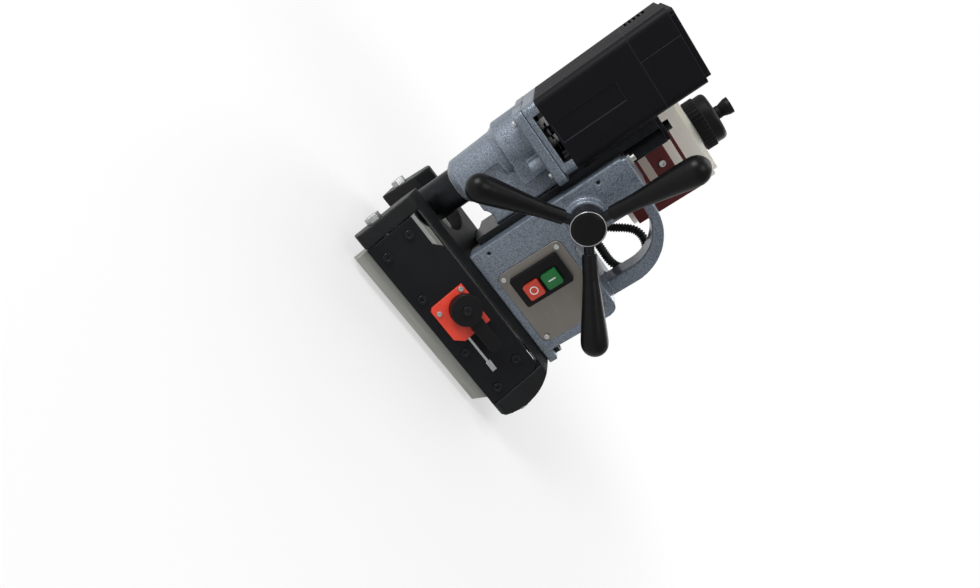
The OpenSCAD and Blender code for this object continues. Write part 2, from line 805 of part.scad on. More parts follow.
module column_housing() color(hammertone) difference() {
    union() {
        across_y(-half, half) union() {
            column_outline();
            body_outline();
        }
        across_y(-handle_w/2, handle_w/2) handle_outline();
        translate([feed_x, 0, feed_z]) y_rod(boss_r, -boss_y, 0);
    }
    // Slide way with room for the gib, and a channel for the rack
    translate([0, 0, deck_z - cut]) linear_extrude(column_top - deck_z + 2*cut) {
        dovetail_outline(column_x - cut, groove_back, gib_t + slip, slip);
        translate([column_x, -rack_w/2 - cut])
            square([rack_pitch_x + feed_add + rack_room - column_x, rack_w + 2*cut]);
    }
    translate([feed_x, 0, feed_z]) {
        y_rod(feed_pitch_r + feed_add + rack_room, -chamber_w/2, chamber_w/2);
        y_rod(bush_r, -boss_y - cut, bush_end);
    }
    // Panel recess and switch pocket
    across_y(-half - cut, -half + panel_t) translate([panel_x + panel_l/2, panel_mid_z])
        round_rect(panel_l, panel_h, panel_round);
    switch_hole(-half, -half + switch_depth + cut, 0);
    at_spots(panel_spots) y_rod(small_screw_r, -half, -half + screw_hole);
    for (z = gib_spots) translate([column_x + dovetail_d/2, 0, z]) y_rod(gib_screw_r, -half - cut, 0);
    for (y = [-bolt_y, bolt_y])
        translate([lip_bolt_x, y, deck_z - cut]) cylinder(r = bolt_r, h = lip_h + 2*cut);
    at_spots(bracket_spots) y_rod(bracket_screw_r, half - screw_hole, half + cut);
    translate(gland_spot) x_rod(conduit_r - 1, -gland_hole, cut);
}

module housing_bolts() color(black) for (y = [-bolt_y, bolt_y])
    translate([lip_bolt_x, y, deck_z + lip_h]) socket_screw(bolt_r, lip_h + deck_t - 2, lip_head);

module gib_strip() color(steel) difference() {
    translate([0, 0, deck_z + gib_end]) linear_extrude(column_top - deck_z - 2*gib_end) difference() {
        dovetail_outline(column_x + 0.5, dovetail_back, gib_t + slip, 0);
        dovetail_outline(column_x, groove_back, slip, cut);
    }
    for (z = gib_spots) translate([column_x + dovetail_d/2, 0, z]) y_rod(gib_screw_r, -half, gib_screw_end);
}

// Set screws that press on the gib
module gib_screws() color(steel) for (z = gib_spots) translate([column_x + dovetail_d/2, 0, z])
difference() {
    y_rod(gib_screw_r, -half + gib_end, gib_screw_end);
    translate([0, -half, 0]) rotate([-90, 0, 0]) cylinder(r = gib_key_r, h = 3, $fn = 6);
}

// Keeper plate that holds the gib down at the column top
module gib_keeper() color(steel) union() {
    box(column_x + top_inset + lap, column_x + dovetail_d - 2, -half + keeper_in,
        -half + keeper_in + keeper_w,
        column_top, column_top + keeper_t);
    translate([column_x + dovetail_d/2, -half + keeper_bolt_in, column_top + keeper_t - slip])
        cylinder(r = keeper_bolt_r, h = keeper_h);
}

// The hole that the switch sits in, with its sides moved in by inset
module switch_hole(y0, y1, inset)
    box(switch_x - switch_w/2 + switch_rim_x + inset, switch_x + switch_w/2 - switch_rim_x - inset, y0, y1,
        panel_mid_z - switch_h/2 + switch_rim_z + inset, panel_mid_z + switch_h/2 - switch_rim_z - inset);

module control_panel() color([0.55, 0.53, 0.5]) difference() {
    across_y(-half, -half + panel_t) translate([panel_x + panel_l/2, panel_mid_z])
        round_rect(panel_l, panel_h, panel_round);
    switch_hole(-half - cut, 0, 0);
    at_spots(panel_spots) y_rod(small_screw_r, -half - cut, 0);
}

module panel_screws() color(steel) at_spots(panel_spots)
    translate([0, -half, 0]) rotate([90, 0, 0]) socket_screw(small_screw_r, screw_hole - 2, panel_head);

module switch_body() color(black) difference() {
    union() {
        across_y(-half - switch_lip, -half) translate([switch_x, panel_mid_z])
            round_rect(switch_w, switch_h, frame_round);
        switch_hole(-half - cut, -half + switch_depth, 2*slip);
    }
    for (z = [start_z, stop_z])
        across_y(-half - switch_lip - cut, -half + button_well) translate([button_x, z])
        round_rect(button_w + 2*gap, button_w + 2*gap, button_round + gap);
}
module push_button(z) across_y(-half - switch_lip - button_out, -half + button_in)
    translate([button_x, z]) round_rect(button_w, button_w, button_round);
module start_button() color([0.1, 0.5, 0.2]) push_button(start_z);
module stop_button() color(red) push_button(stop_z);

// Bronze bushes of the feed shaft, flush with the boss in front and the pinion chamber inside
module feed_bushes() color([0.7, 0.5, 0.25]) translate([feed_x, 0, feed_z]) {
    for (y = [[-boss_y, -chamber_w/2], [chamber_w/2, bush_end]]) difference() {
        y_rod(bush_r, y[0], y[1]);
        y_rod(feed_shaft_r + run, y[0] - cut, y[1] + cut);
    }
}

// Feed pinion, cut in one piece with its shaft, with a tooth facing the rack
module feed_pinion() color(steel) translate([feed_x, 0, feed_z]) union() {
    across_y(-rack_w/2, rack_w/2)
        rotate(180) polygon(gear_points(feed_module, feed_teeth, feed_angle, feed_add, feed_ded, feed_slack));
    y_rod(feed_shaft_r, -hub_back - hub_t + hub_wall, bush_end - 1);
}

module feed_hub() color(black) translate([feed_x, 0, feed_z]) difference() {
    union() {
        y_rod(hub_r, -hub_back - hub_t, -hub_back);
        y_rod(bush_r, -hub_back - cut, -boss_y - gap);
    }
    y_rod(feed_shaft_r, -hub_back - hub_t + hub_wall, -boss_y + cut);
    y_rod(hub_pin_r, -hub_back - hub_t - cut, -boss_y);
    for (i = [0:2]) arm_frame(i) translate([0, 0, arm_root]) cylinder(r = arm_r, h = hub_r);
}
// Cap pressed into the hub over the end of the shaft
module hub_cap() color(black) translate([feed_x, -hub_back - hub_t, feed_z]) rotate([90, 0, 0]) union() {
    translate([0, 0, slip - hub_wall]) cylinder(r = hub_pin_r, h = hub_wall);
    cylinder(r = hub_cap_r, h = hub_cap_t/2);
    translate([0, 0, hub_cap_t/2 - slip])
        cylinder(r1 = hub_cap_r, r2 = hub_cap_r - 2, h = hub_cap_t/2 + slip);
}

// Each arm leaves the hub outward and away from the column
module arm_frame(i) translate([0, -arm_y, 0]) rotate([0, arm_turn + 120*i, 0]) rotate([arm_lean, 0, 0])
    children();
arm_len = hub_r + arm_bare + grip_len;
module feed_arms() color(black) translate([feed_x, 0, feed_z]) for (i = [0:2]) arm_frame(i)
    translate([0, 0, arm_root]) cylinder(r = arm_r, h = arm_len - grip_cap - arm_root);
module feed_grips() color(black) translate([feed_x, 0, feed_z]) for (i = [0:2]) arm_frame(i)
    translate([0, 0, arm_len - grip_len]) rotate_extrude() difference() {
        union() {
            polygon([[0, 0], [grip_neck_r - lap, 0], [grip_neck_r, lap], [grip_waist_r, grip_swell],
                     [grip_r - grip_ease, grip_len - grip_swell],
                     [grip_r, grip_len - grip_swell + grip_blend],
                     [grip_r, grip_len - grip_r], [0, grip_len - grip_r]]);
            translate([0, grip_len - grip_r]) intersection() {
                circle(r = grip_r);
                square([grip_r, grip_r]);
            }
        }
        translate([0, -cut]) square([arm_r, grip_len - grip_cap + cut]);
    }

slide_side = [[slide_x, slide_w/2], [slide_back, slide_w/2], [slide_back, dovetail_half(slide_back)],
              [dovetail_back, dovetail_half(dovetail_back)]];
module dovetail_slide() color(black) difference() {
    translate([0, 0, slide_z]) linear_extrude(slide_len)
        polygon(concat(slide_side, [for (i = [len(slide_side) - 1:-1:0])
                                    [slide_side[i][0], -slide_side[i][1]]]));
    box(rack_seat_x, dovetail_back + cut, -rack_w/2, rack_w/2, rack_low, rack_top);
    translate([top_screw_x, 0, slide_z + slide_len - screw_hole])
        cylinder(r = top_screw_r, h = screw_hole + cut);
}

// Straight-flanked rack with a space at the height of the feed shaft
module feed_rack() color(steel) union() {
    box(rack_seat_x, rack_root_x, -rack_w/2, rack_w/2, rack_low, rack_top);
    for (k = [ceil((rack_low - feed_z)/rack_pitch):floor((rack_top - feed_z)/rack_pitch) - 1])
        across_y(-rack_w/2, rack_w/2) translate([rack_pitch_x, feed_z + (k + 0.5)*rack_pitch]) rack_tooth();
}
module rack_tooth() {
    foot = rack_pitch/4 - feed_slack/2 + feed_ded*tan(feed_angle);
    tip = rack_pitch/4 - feed_slack/2 - feed_add*tan(feed_angle);
    polygon([[-feed_ded - 0.1, foot], [feed_add, tip], [feed_add, -tip], [-feed_ded - 0.1, -foot]]);
}

module slide_top_plate() color(black) difference() {
    box(slide_x, dovetail_back, -slide_w/2 + top_plate_in, slide_w/2 - top_plate_in,
        slide_z + slide_len, slide_z + slide_len + top_plate_t);
    translate([top_screw_x, 0, slide_z + slide_len - cut])
        cylinder(r = top_screw_r, h = top_plate_t + 2*cut);
}
module slide_top_screw() color(black) translate([top_screw_x, 0, slide_z + slide_len + top_plate_t])
    socket_screw(top_screw_r, top_plate_t + top_screw_l, top_head);

// Gearbox
module motor_plan() translate([motor_mid, 0]) round_rect(motor_l, motor_w, motor_round);
module flange_plan() translate([(motor_front + slide_x)/2, 0])
    round_rect(slide_x - motor_front, gear_w, motor_round);
module gearbox_case() color(hammertone) difference() {
    union() {
        translate([0, 0, flange_z]) linear_extrude(flange_t) flange_plan();
        translate([0, 0, waist_z]) cylinder(r = gear_up_r, h = flange_top - waist_z);
        translate([0, 0, waist_z - foot_h]) cylinder(r1 = gear_low_r, r2 = gear_up_r - step_in, h = foot_h);
        translate([0, 0, gear_low + foot_h])
            cylinder(r1 = gear_low_r - step_in, r2 = gear_low_r, h = waist_z - gear_low - foot_h);
        translate([0, 0, gear_low])
            cylinder(r1 = gear_low_r - foot_in, r2 = gear_low_r - step_in, h = foot_h);
        // Rear web to the slide, and the side bosses under the flange
        box(0, slide_x, -web_w/2, web_w/2, gear_low + web_up, flange_z);
        for (side = [-1, 1]) {
            translate([slide_x - ear_back, side*(web_w/2 + ear_out), flange_z - ear_h])
                cylinder(r = ear_r, h = ear_h);
            translate([slide_x - ear_back, side*(web_w/2 + step_in), flange_z - 2*ear_h])
                linear_extrude(2*ear_h) square([2*ear_r, ear_web], center = true);
        }
    }
    // Arch under the web
    translate([slide_x - web_arch_in, 0, gear_low + web_arch_up]) y_rod(web_arch_r, -web_w, web_w);
    // Shallow side panels
    for (side = [-1, 1])
        box(0, recess_l, side*(web_w/2 + step_in) - side_recess, side*(web_w/2 + step_in) + side_recess,
            gear_low + recess_low, waist_z - recess_top);
    // Room for the gears
    translate([lay_x, 0, first_gear_z - 2*lap])
        cylinder(r = first_module*first_gear/2 + gear_room, h = flange_top);
    translate([motor_x, 0, first_gear_z - 2*lap]) cylinder(r = seat_r, h = flange_top);
    translate([0, 0, last_gear_z - 2*lap]) cylinder(r = last_module*last_gear/2 + gear_room, h = flange_top);
    translate([lay_x, 0, last_gear_z - 2*lap]) cylinder(r = bearing_r, h = flange_top);
    // Bearing seats and the spindle bore
    translate([lay_x, 0, lay_bearing_z]) cylinder(r = bearing_r, h = last_gear_z - lay_bearing_z);
    translate([0, 0, spindle_bearing_z]) cylinder(r = big_bearing_r, h = last_gear_z - spindle_bearing_z);
    translate([0, 0, gear_low - cut]) cylinder(r = spindle_r + shaft_room, h = waist_z - gear_low);
    translate([0, 0, gear_low - cut]) cylinder(r = low_bearing_r, h = bearing_t + cut);
    lid_screw_places() translate([0, 0, flange_z - cut]) cylinder(r = case_screw_r, h = flange_t + 2*cut);
}
module lid_screw_places() translate([motor_mid, 0, 0])
    for (x = [-1, 1], y = [-1, 1]) translate([x*case_screw_x, y*case_screw_y, 0]) children();

module gearbox_lid() color(hammertone) difference() {
    translate([0, 0, flange_top]) linear_extrude(lid_t) motor_plan();
    // Exhaust slots on both sides, open to the fan room
    translate([motor_x, 0, lid_top - exhaust_h]) cylinder(r = field_r - 2, h = exhaust_h + cut);
    for (side = [-1, 1])
        box(motor_x - exhaust_w/2, motor_x + exhaust_w/2, side*motor_w/2 - exhaust_in,
            side*motor_w/2 + exhaust_in, lid_top - exhaust_h, lid_top + cut);
    translate([motor_x, 0, flange_top - cut]) cylinder(r = lay_r + shaft_room, h = lid_t + 2*cut);
    translate([motor_x, 0, lid_top - exhaust_h - seat_drop]) cylinder(r = seat_r, h = seat_t);
    translate([lay_x, 0, flange_top - cut]) cylinder(r = lay_seat_r, h = seat_t + cut);
    lid_screw_places() translate([0, 0, flange_top - cut]) cylinder(r = case_screw_r, h = lid_t + 2*cut);
}
module lid_screws() color(steel) lid_screw_places() translate([0, 0, flange_z]) mirror([0, 0, 1])
    socket_screw(case_screw_r, flange_t + lid_t + screw_grip - 2, case_head);

// Motor
module motor_case() color(black) difference() {
    translate([0, 0, lid_top]) linear_extrude(motor_h) motor_plan();
    translate([motor_x, 0, lid_top - cut]) cylinder(r = field_r, h = motor_h + 2*cut);
    // Long groove down the front, and a shallow panel on each side
    box(motor_front - cut, motor_front + groove_d, groove_y, groove_y + groove_w, lid_top + 2,
        seam_z - panel_drop);
    for (side = [-1, 1])
        box(motor_panel_x, motor_panel_x + motor_panel_l, side*motor_w/2 - panel_line,
            side*motor_w/2 + panel_line, lid_top + 2, seam_z - panel_drop);
    lid_screw_places() translate([0, 0, lid_top - cut]) cylinder(r = case_screw_r, h = screw_grip + cut);
    lid_screw_places() translate([0, 0, seam_z - screw_grip])
        cylinder(r = case_screw_r, h = screw_grip + cut);
    translate(motor_gland_spot) rotate([90, 0, 0]) cylinder(r = conduit_r - 1, h = gland_hole);
}
module motor_end_cap() color(black) difference() {
    union() {
        translate([0, 0, seam_z]) linear_extrude(cap_h - top_round) motor_plan();
        translate([motor_mid, 0, seam_z]) linear_extrude(cap_h)
            round_rect(motor_l - top_in, motor_w - top_in, motor_round - top_in/2);
    }
    translate([motor_x, 0, seam_z - cut])
        cylinder(r = field_r - end_wall, h = top_bearing_z - seam_z - end_wall + cut);
    translate([motor_x, 0, top_bearing_z - 4]) cylinder(r = bearing_r, h = bearing_t + 4);
    // Cooling slots in the front and the rear, and a groove down each side
    for (i = [0:vents - 1], x = [motor_front - cut, motor_mid + vent_deep])
        box(x, x + motor_l/2 - vent_deep + cut, vent_y, vent_y + vent_w,
            vent_z + vent_pitch*i, vent_z + vent_pitch*i + vent_h);
    for (side = [-1, 1])
        box(motor_panel_x - 2*panel_line, motor_panel_x - panel_line/2, side*motor_w/2 - panel_line,
            side*motor_w/2 + panel_line, seam_z - cut, motor_top);
    lid_screw_places() {
        translate([0, 0, seam_z - cut]) cylinder(r = case_screw_r, h = cap_h + 2*cut);
        translate([0, 0, motor_top - screw_grip]) cylinder(r = 1.9*case_screw_r, h = screw_grip + cut);
    }
}
module end_cap_screws() color(steel) lid_screw_places() translate([0, 0, motor_top - screw_grip])
    socket_screw(case_screw_r, cap_h - 2, case_head);

module field_pack() color(steel) translate([motor_x, 0, field_z])
    tube(field_r, armature_r + air_gap, field_h);

// Armature with its shaft, pinion, fan and commutator
module armature() color([0.6, 0.4, 0.25]) translate([motor_x, 0, 0]) union() {
    translate([0, 0, armature_low]) train_gear(first_module, first_pinion, first_gear_t + 1);
    translate([0, 0, armature_low + first_gear_t + lap]) cylinder(r = pinion_neck_r, h = pinion_neck + lap);
    translate([0, 0, flange_top - 1]) cylinder(r = lay_r, h = top_bearing_z + bearing_t - flange_top);
    translate([0, 0, field_z + core_end]) cylinder(r = armature_r, h = field_h - 2*core_end);
    translate([0, 0, seam_z - screw_grip]) cylinder(r = commutator_r, h = commutator_l);
    translate([0, 0, fan_z]) cylinder(r = fan_r, h = fan_t);
    for (i = [0:fan_blades - 1]) rotate(360/fan_blades*i)
        translate([blade_x, -blade_t/2, fan_z + fan_t - lap]) cube([fan_r - 1 - blade_x, blade_t, blade_h]);
    translate([0, 0, fan_z + fan_t - lap]) cylinder(r = fan_hub_r, h = blade_h);
}

module layshaft() color(steel) translate([lay_x, 0, 0]) union() {
    translate([0, 0, first_gear_z]) train_gear(first_module, first_gear, first_gear_t);
    translate([0, 0, last_gear_z - lap])
        train_gear(last_module, last_pinion, last_gear_t + gear_apart + 2*lap);
    translate([0, 0, lay_bearing_z + lap])
        cylinder(r = lay_tip_r, h = flange_top + seat_drop - lay_bearing_z);
}

// Bearing rings, pressed into the gearbox, the lid and the end cap
module gear_bearings() color([0.75, 0.77, 0.8]) {
    translate([0, 0, gear_low]) tube(low_bearing_r, spindle_r + run, bearing_t);
    translate([0, 0, spindle_bearing_z]) tube(big_bearing_r, spindle_r + run, bearing_t);
    translate([lay_x, 0, lay_bearing_z]) tube(bearing_r, lay_tip_r + run, bearing_t);
    translate([lay_x, 0, flange_top]) tube(lay_seat_r, lay_tip_r + run, seat_t);
    translate([motor_x, 0, lid_top - exhaust_h - seat_drop]) tube(seat_r, lay_r + run, seat_t);
    translate([motor_x, 0, top_bearing_z - 1]) tube(bearing_r, lay_r + run, bearing_t);
}

// Spindle with its gear and the arbor that takes the cutter shank
module spindle() color(black) difference() {
    union() {
        translate([0, 0, gear_low - gap - 1]) cylinder(r = spindle_r, h = spindle_top - gear_low + gap + 1);
        translate([0, 0, last_gear_z]) rotate(180/last_gear) train_gear(last_module, last_gear, last_gear_t);
        translate([0, 0, arbor_low + arbor_bevel]) cylinder(r = arbor_r, h = arbor_len - arbor_bevel);
        translate([0, 0, arbor_low]) cylinder(r1 = arbor_r - arbor_bevel, r2 = arbor_r, h = arbor_bevel);
    }
    translate([0, 0, arbor_low - cut]) cylinder(r = socket_d/2, h = socket_len + cut);
    lock_places() y_rod(lock_r, -arbor_r - cut, -socket_d/2 + 2);
}
// Set screws that lock the cutter shank
module lock_places() for (a = [45, 135]) rotate(a) translate([0, 0, arbor_low + lock_up]) children();
module arbor_screws() color(steel) lock_places() difference() {
    y_rod(lock_r, -arbor_r + 0.5, -socket_d/2 - 0.5);
    translate([0, -arbor_r, 0]) rotate([-90, 0, 0]) cylinder(r = lock_key_r, h = lock_key, $fn = 6);
}

// Slotted sheet bracket on the far side of the column, with a block that stands the bottle off
module bottle_bracket() color([0.35, 0.1, 0.1]) difference() {
    union() {
        box(bracket_x, bracket_x + bracket_l, half, bracket_face, bracket_low, bracket_low + bracket_h);
        box(bottle_x - spacer_l/2, bottle_x + spacer_l/2, bracket_face - lap, bottle_y,
            spacer_z - spacer_h/2, spacer_z + spacer_h/2);
    }
    for (z = [column_top + slot_low, bracket_low + bracket_h - slot_high])
        across_y(half - cut, bracket_face + cut) union() {
            translate([bracket_x + slot_in, z - slot_r]) square([bracket_l - 2*slot_in, 2*slot_r]);
            for (x = [bracket_x + slot_in, bracket_x + bracket_l - slot_in])
                translate([x, z]) circle(r = slot_r);
        }
    at_spots(bracket_spots) y_rod(bracket_screw_r, half - cut, bracket_face + cut);
    translate([bottle_x, 0, spacer_z]) y_rod(spacer_screw_r, half - cut, bottle_y + cut);
}
module bracket_screws() color(steel) {
    at_spots(bracket_spots) translate([0, bracket_face, 0]) rotate([-90, 0, 0])
        socket_screw(bracket_screw_r, screw_hole, bracket_head);
    translate([bottle_x, half, spacer_z]) rotate([90, 0, 0])
        socket_screw(spacer_screw_r, bottle_y - half - 1, bracket_head);
}

module bottle_plan(inset) translate([bottle_x, cap_y])
    round_rect(bottle_l - 2*inset, bottle_d - 2*inset, bottle_round - inset);
module coolant_bottle() color([0.87, 0.85, 0.81]) difference() {
    union() {
        translate([0, 0, bottle_z]) linear_extrude(bottle_h - shoulder) bottle_plan(0);
        translate([0, 0, bottle_z]) linear_extrude(bottle_h) bottle_plan(shoulder);
        translate([bottle_x, cap_y, bottle_z]) cylinder(r = neck_r, h = bottle_h + neck_h);
    }
    translate([0, 0, bottle_z + bottle_wall]) linear_extrude(bottle_h - shoulder - 2*bottle_wall)
        bottle_plan(bottle_wall);
    translate([bottle_x, cap_y, bottle_z + bottle_wall])
        cylinder(r = neck_r - bottle_wall, h = bottle_h + neck_h);
}

// Ribbed screw cap with a domed top and a round way for the spout
module bottle_cap() color(black) translate([bottle_x, cap_y, cap_base]) difference() {
    union() {
        cylinder(r = bottle_cap_r - 1, h = ring_h);
        for (i = [0:cap_ribs - 1]) rotate(360*(i + 0.5)/cap_ribs) translate([bottle_cap_r - 1, 0, cap_rib_in])
            cylinder(r = cap_rib_r, h = ring_h - 2*cap_rib_in, $fn = 16);
        translate([0, 0, ring_h - lap]) rotate_extrude() union() {
            square([dome_r - dome_round, dome_h + lap]);
            square([dome_r, dome_h + lap - dome_round]);
            translate([dome_r - dome_round, dome_h + lap - dome_round]) circle(r = dome_round);
        }
        translate([0, 0, ring_h]) cylinder(r = spout_r - 2, h = dome_h + nozzle_h);
    }
    translate([0, 0, -cut]) cylinder(r = neck_r + gap, h = neck_h + cut);
    translate([0, 0, ring_h - cut]) cylinder(r = stem_r, h = 3*dome_h);
}
module bottle_spout() color(black) translate([bottle_x, cap_y, cap_base + ring_h]) difference() {
    union() {
        translate([0, 0, dome_h + nozzle_h + gap])
            cylinder(r1 = spout_r - spout_flare, r2 = spout_r, h = spout_h - spout_tip);
        translate([0, 0, dome_h + nozzle_h + gap + spout_h - spout_tip]) cylinder(r = spout_r, h = spout_tip);
        translate([0, 0, stem_low]) cylinder(r = stem_r - run, h = dome_h + nozzle_h);
    }
    translate([0, 0, -cut]) cylinder(r = spout_bore_r, h = 4*spout_h);
}

// Ribbed conduit: rings of eight sides along a smooth curve through the route points
function spline(p, t) = let(f = t*(len(p) - 1), i = min(floor(f), len(p) - 2)) catmull(p, i, f - i);
function catmull(p, i, f) =
    let(a = p[max(i - 1, 0)], b = p[i], c = p[i + 1], d = p[min(i + 2, len(p) - 1)])
    0.5*(2*b + (c - a)*f + (2*a - 5*b + 4*c - d)*f*f + (3*b - a - 3*c + d)*f*f*f);
function unit(v) = v/norm(v);
rings = 2*conduit_ribs;
sides = 8;
conduit_mid = [for (i = [0:rings]) spline(conduit_route, i/rings)];
conduit_dir = [for (i = [0:rings]) unit(conduit_mid[min(i + 1, rings)] - conduit_mid[max(i - 1, 0)])];
function ring_points(i, r) =
    let(u = unit(cross(conduit_dir[i], [0.3, 1, 0.2])), w = cross(conduit_dir[i], u))
    [for (k = [0:sides - 1]) conduit_mid[i] + r*(cos(360*k/sides)*u + sin(360*k/sides)*w)];
function rib_r(i) = i % 2 == 0 ? conduit_r - rib_depth : conduit_r;
conduit_points = concat([for (i = [0:rings]) each ring_points(i, rib_r(i))],
                        [for (i = [0:rings]) each ring_points(i, conduit_bore*conduit_r)]);
inner = sides*(rings + 1);
function wall_faces(start, flip) = [for (i = [0:rings - 1], k = [0:sides - 1])
    let(a = start + i*sides + k, b = start + i*sides + (k + 1) % sides, c = a + sides, d = b + sides)
    each (flip ? [[a, c, b], [b, c, d]] : [[a, b, c], [b, d, c]])];
function end_faces(outer, bore, flip) = [for (k = [0:sides - 1])
    let(a = outer + k, b = outer + (k + 1) % sides, c = bore + k, d = bore + (k + 1) % sides)
    each (flip ? [[a, b, c], [b, d, c]] : [[a, c, b], [b, c, d]])];
module motor_conduit() color(black) polyhedron(conduit_points,
    concat(wall_faces(0, true), wall_faces(inner, false),
           end_faces(0, inner, true), end_faces(rings*sides, inner + rings*sides, false)));

module housing_gland() color(black) translate(gland_spot) rotate([0, 90, 0]) gland();
module motor_gland() color(black) translate(motor_gland_spot) rotate([-90, 0, 0]) gland();
module gland() difference() {
    union() {
        cylinder(r = gland_r, h = gland_l, $fn = 32);
        translate([0, 0, -gland_sink]) cylinder(r = conduit_r - 1, h = gland_l + gland_sink);
    }
    translate([0, 0, -gland_sink - cut]) cylinder(r = conduit_bore*conduit_r, h = 3*gland_l);
}

base_bridge();
pivot_bolts();
magnet_block(-1);  // near_magnet_block
pole_shoe(-1);  // near_pole_shoe
side_plate(-1);  // near_side_plate
plate_screws(-1);  // near_plate_screws
lever_plate(-1);  // near_lever_plate
lever_plate_screws(-1);  // near_lever_plate_screws
magnet_rotor(-1);  // near_magnet_rotor
lever(-1);  // near_lever
lever_screw(-1);  // near_lever_screw
magnet_block(1);  // far_magnet_block
pole_shoe(1);  // far_pole_shoe
side_plate(1);  // far_side_plate
plate_screws(1);  // far_plate_screws
lever_plate(1);  // far_lever_plate
lever_plate_screws(1);  // far_lever_plate_screws
magnet_rotor(1);  // far_magnet_rotor
lever(1);  // far_lever
lever_screw(1);  // far_lever_screw
column_housing();
housing_bolts();
gib_strip();
gib_screws();
gib_keeper();
control_panel();
panel_screws();
switch_body();
start_button();
stop_button();
feed_bushes();
feed_pinion();
feed_hub();
hub_cap();
feed_arms();
feed_grips();
dovetail_slide();
feed_rack();
slide_top_plate();
slide_top_screw();
gearbox_case();
gearbox_lid();
lid_screws();
motor_case();
motor_end_cap();
end_cap_screws();
field_pack();
armature();
layshaft();
gear_bearings();
spindle();
arbor_screws();
bottle_bracket();
bracket_screws();
coolant_bottle();
bottle_cap();
bottle_spout();
motor_conduit();
housing_gland();
motor_gland();
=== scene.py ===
import math

import bmesh
import bpy
from mathutils import Matrix, Vector


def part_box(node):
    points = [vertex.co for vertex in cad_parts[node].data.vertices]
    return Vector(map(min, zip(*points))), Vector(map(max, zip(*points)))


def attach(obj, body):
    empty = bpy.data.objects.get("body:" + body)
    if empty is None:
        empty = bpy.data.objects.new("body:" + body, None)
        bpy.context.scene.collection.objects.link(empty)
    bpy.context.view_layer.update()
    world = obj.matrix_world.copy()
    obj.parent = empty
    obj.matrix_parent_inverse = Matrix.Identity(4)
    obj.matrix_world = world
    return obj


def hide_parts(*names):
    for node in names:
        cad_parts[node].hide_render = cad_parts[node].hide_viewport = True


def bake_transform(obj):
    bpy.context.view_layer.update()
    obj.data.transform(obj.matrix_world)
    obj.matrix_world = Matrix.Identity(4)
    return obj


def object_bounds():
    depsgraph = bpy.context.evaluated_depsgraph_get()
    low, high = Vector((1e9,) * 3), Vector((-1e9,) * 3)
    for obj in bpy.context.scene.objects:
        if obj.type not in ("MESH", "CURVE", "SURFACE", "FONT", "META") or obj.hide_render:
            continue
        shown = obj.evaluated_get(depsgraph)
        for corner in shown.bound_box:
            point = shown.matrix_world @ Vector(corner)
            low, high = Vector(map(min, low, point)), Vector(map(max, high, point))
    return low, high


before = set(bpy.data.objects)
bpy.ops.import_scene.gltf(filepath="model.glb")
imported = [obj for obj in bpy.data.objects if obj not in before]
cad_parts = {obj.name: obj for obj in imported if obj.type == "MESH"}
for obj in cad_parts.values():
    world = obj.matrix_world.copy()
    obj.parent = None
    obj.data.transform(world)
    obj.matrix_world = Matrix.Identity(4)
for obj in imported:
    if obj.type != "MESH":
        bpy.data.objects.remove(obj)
cad_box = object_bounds()

# Bridge casting: one sand casting with a flat deck and four splayed legs.
# Iron under semi-gloss black paint, with the cast skin showing through and edges rubbed grey.
# The CAD mesh is copied and its edges are rounded as a mould leaves them.


def linear(hex_colour):
    """An sRGB hex colour as linear RGBA."""
    parts = [int(hex_colour[i:i + 2], 16) / 255 for i in (1, 3, 5)]
    return [c / 12.92 if c <= 0.04045 else ((c + 0.055) / 1.055) ** 2.4 for c in parts] + [1.0]


def set_inputs(tree, node, inputs):
    """Links the inputs of a node to sockets, or sets them to values."""
    for name, value in inputs.items():
        if isinstance(value, bpy.types.NodeSocket):
            tree.links.new(value, node.inputs[name])
        else:
            node.inputs[name].default_value = value


def add_node(tree, kind, inputs=None, **settings):
    """A node with its settings and inputs."""
    node = tree.nodes.new(kind)
    for name, value in settings.items():
        setattr(node, name, value)
    set_inputs(tree, node, inputs or {})
    return node


def noise(tree, spot, size, detail):
    """Soft noise with grains of a size in metres."""
    grains = {"Vector": spot, "Scale": 1 / size, "Detail": detail}
    return add_node(tree, "ShaderNodeTexNoise", grains).outputs["Fac"]


def mix(tree, share, first, second):
    """A colour between two, each of them a hex colour or a socket."""
    first, second = (linear(c) if isinstance(c, str) else c for c in (first, second))
    return add_node(tree, "ShaderNodeMix", {0: share, 6: first, 7: second}, data_type="RGBA").outputs[2]


def spread(tree, value, low, high, start=0.0, end=1.0, **settings):
    """A value between start and end, spread from low to high."""
    ranges = {"Value": value, "From Min": start, "From Max": end, "To Min": low, "To Max": high}
    return add_node(tree, "ShaderNodeMapRange", ranges, **settings).outputs[0]


def arithmetic(tree, operation, *values):
    """One step of arithmetic on sockets and numbers."""
    return add_node(tree, "ShaderNodeMath", dict(enumerate(values)), operation=operation).outputs[0]


def start_finish(name, metallic=0.0, coat=0.0, shine=0.5):
    """A new finish: its material, tree, shader and place in the piece. Shine is its share of mirrored light."""
    material = bpy.data.materials.new(name)
    material.use_nodes = True
    tree = material.node_tree
    shader = tree.nodes["Principled BSDF"]
    set_inputs(tree, shader, {"Metallic": metallic, "Coat Weight": coat, "Specular IOR Level": shine})
    return material, tree, shader, add_node(tree, "ShaderNodeTexCoord").outputs["Object"]


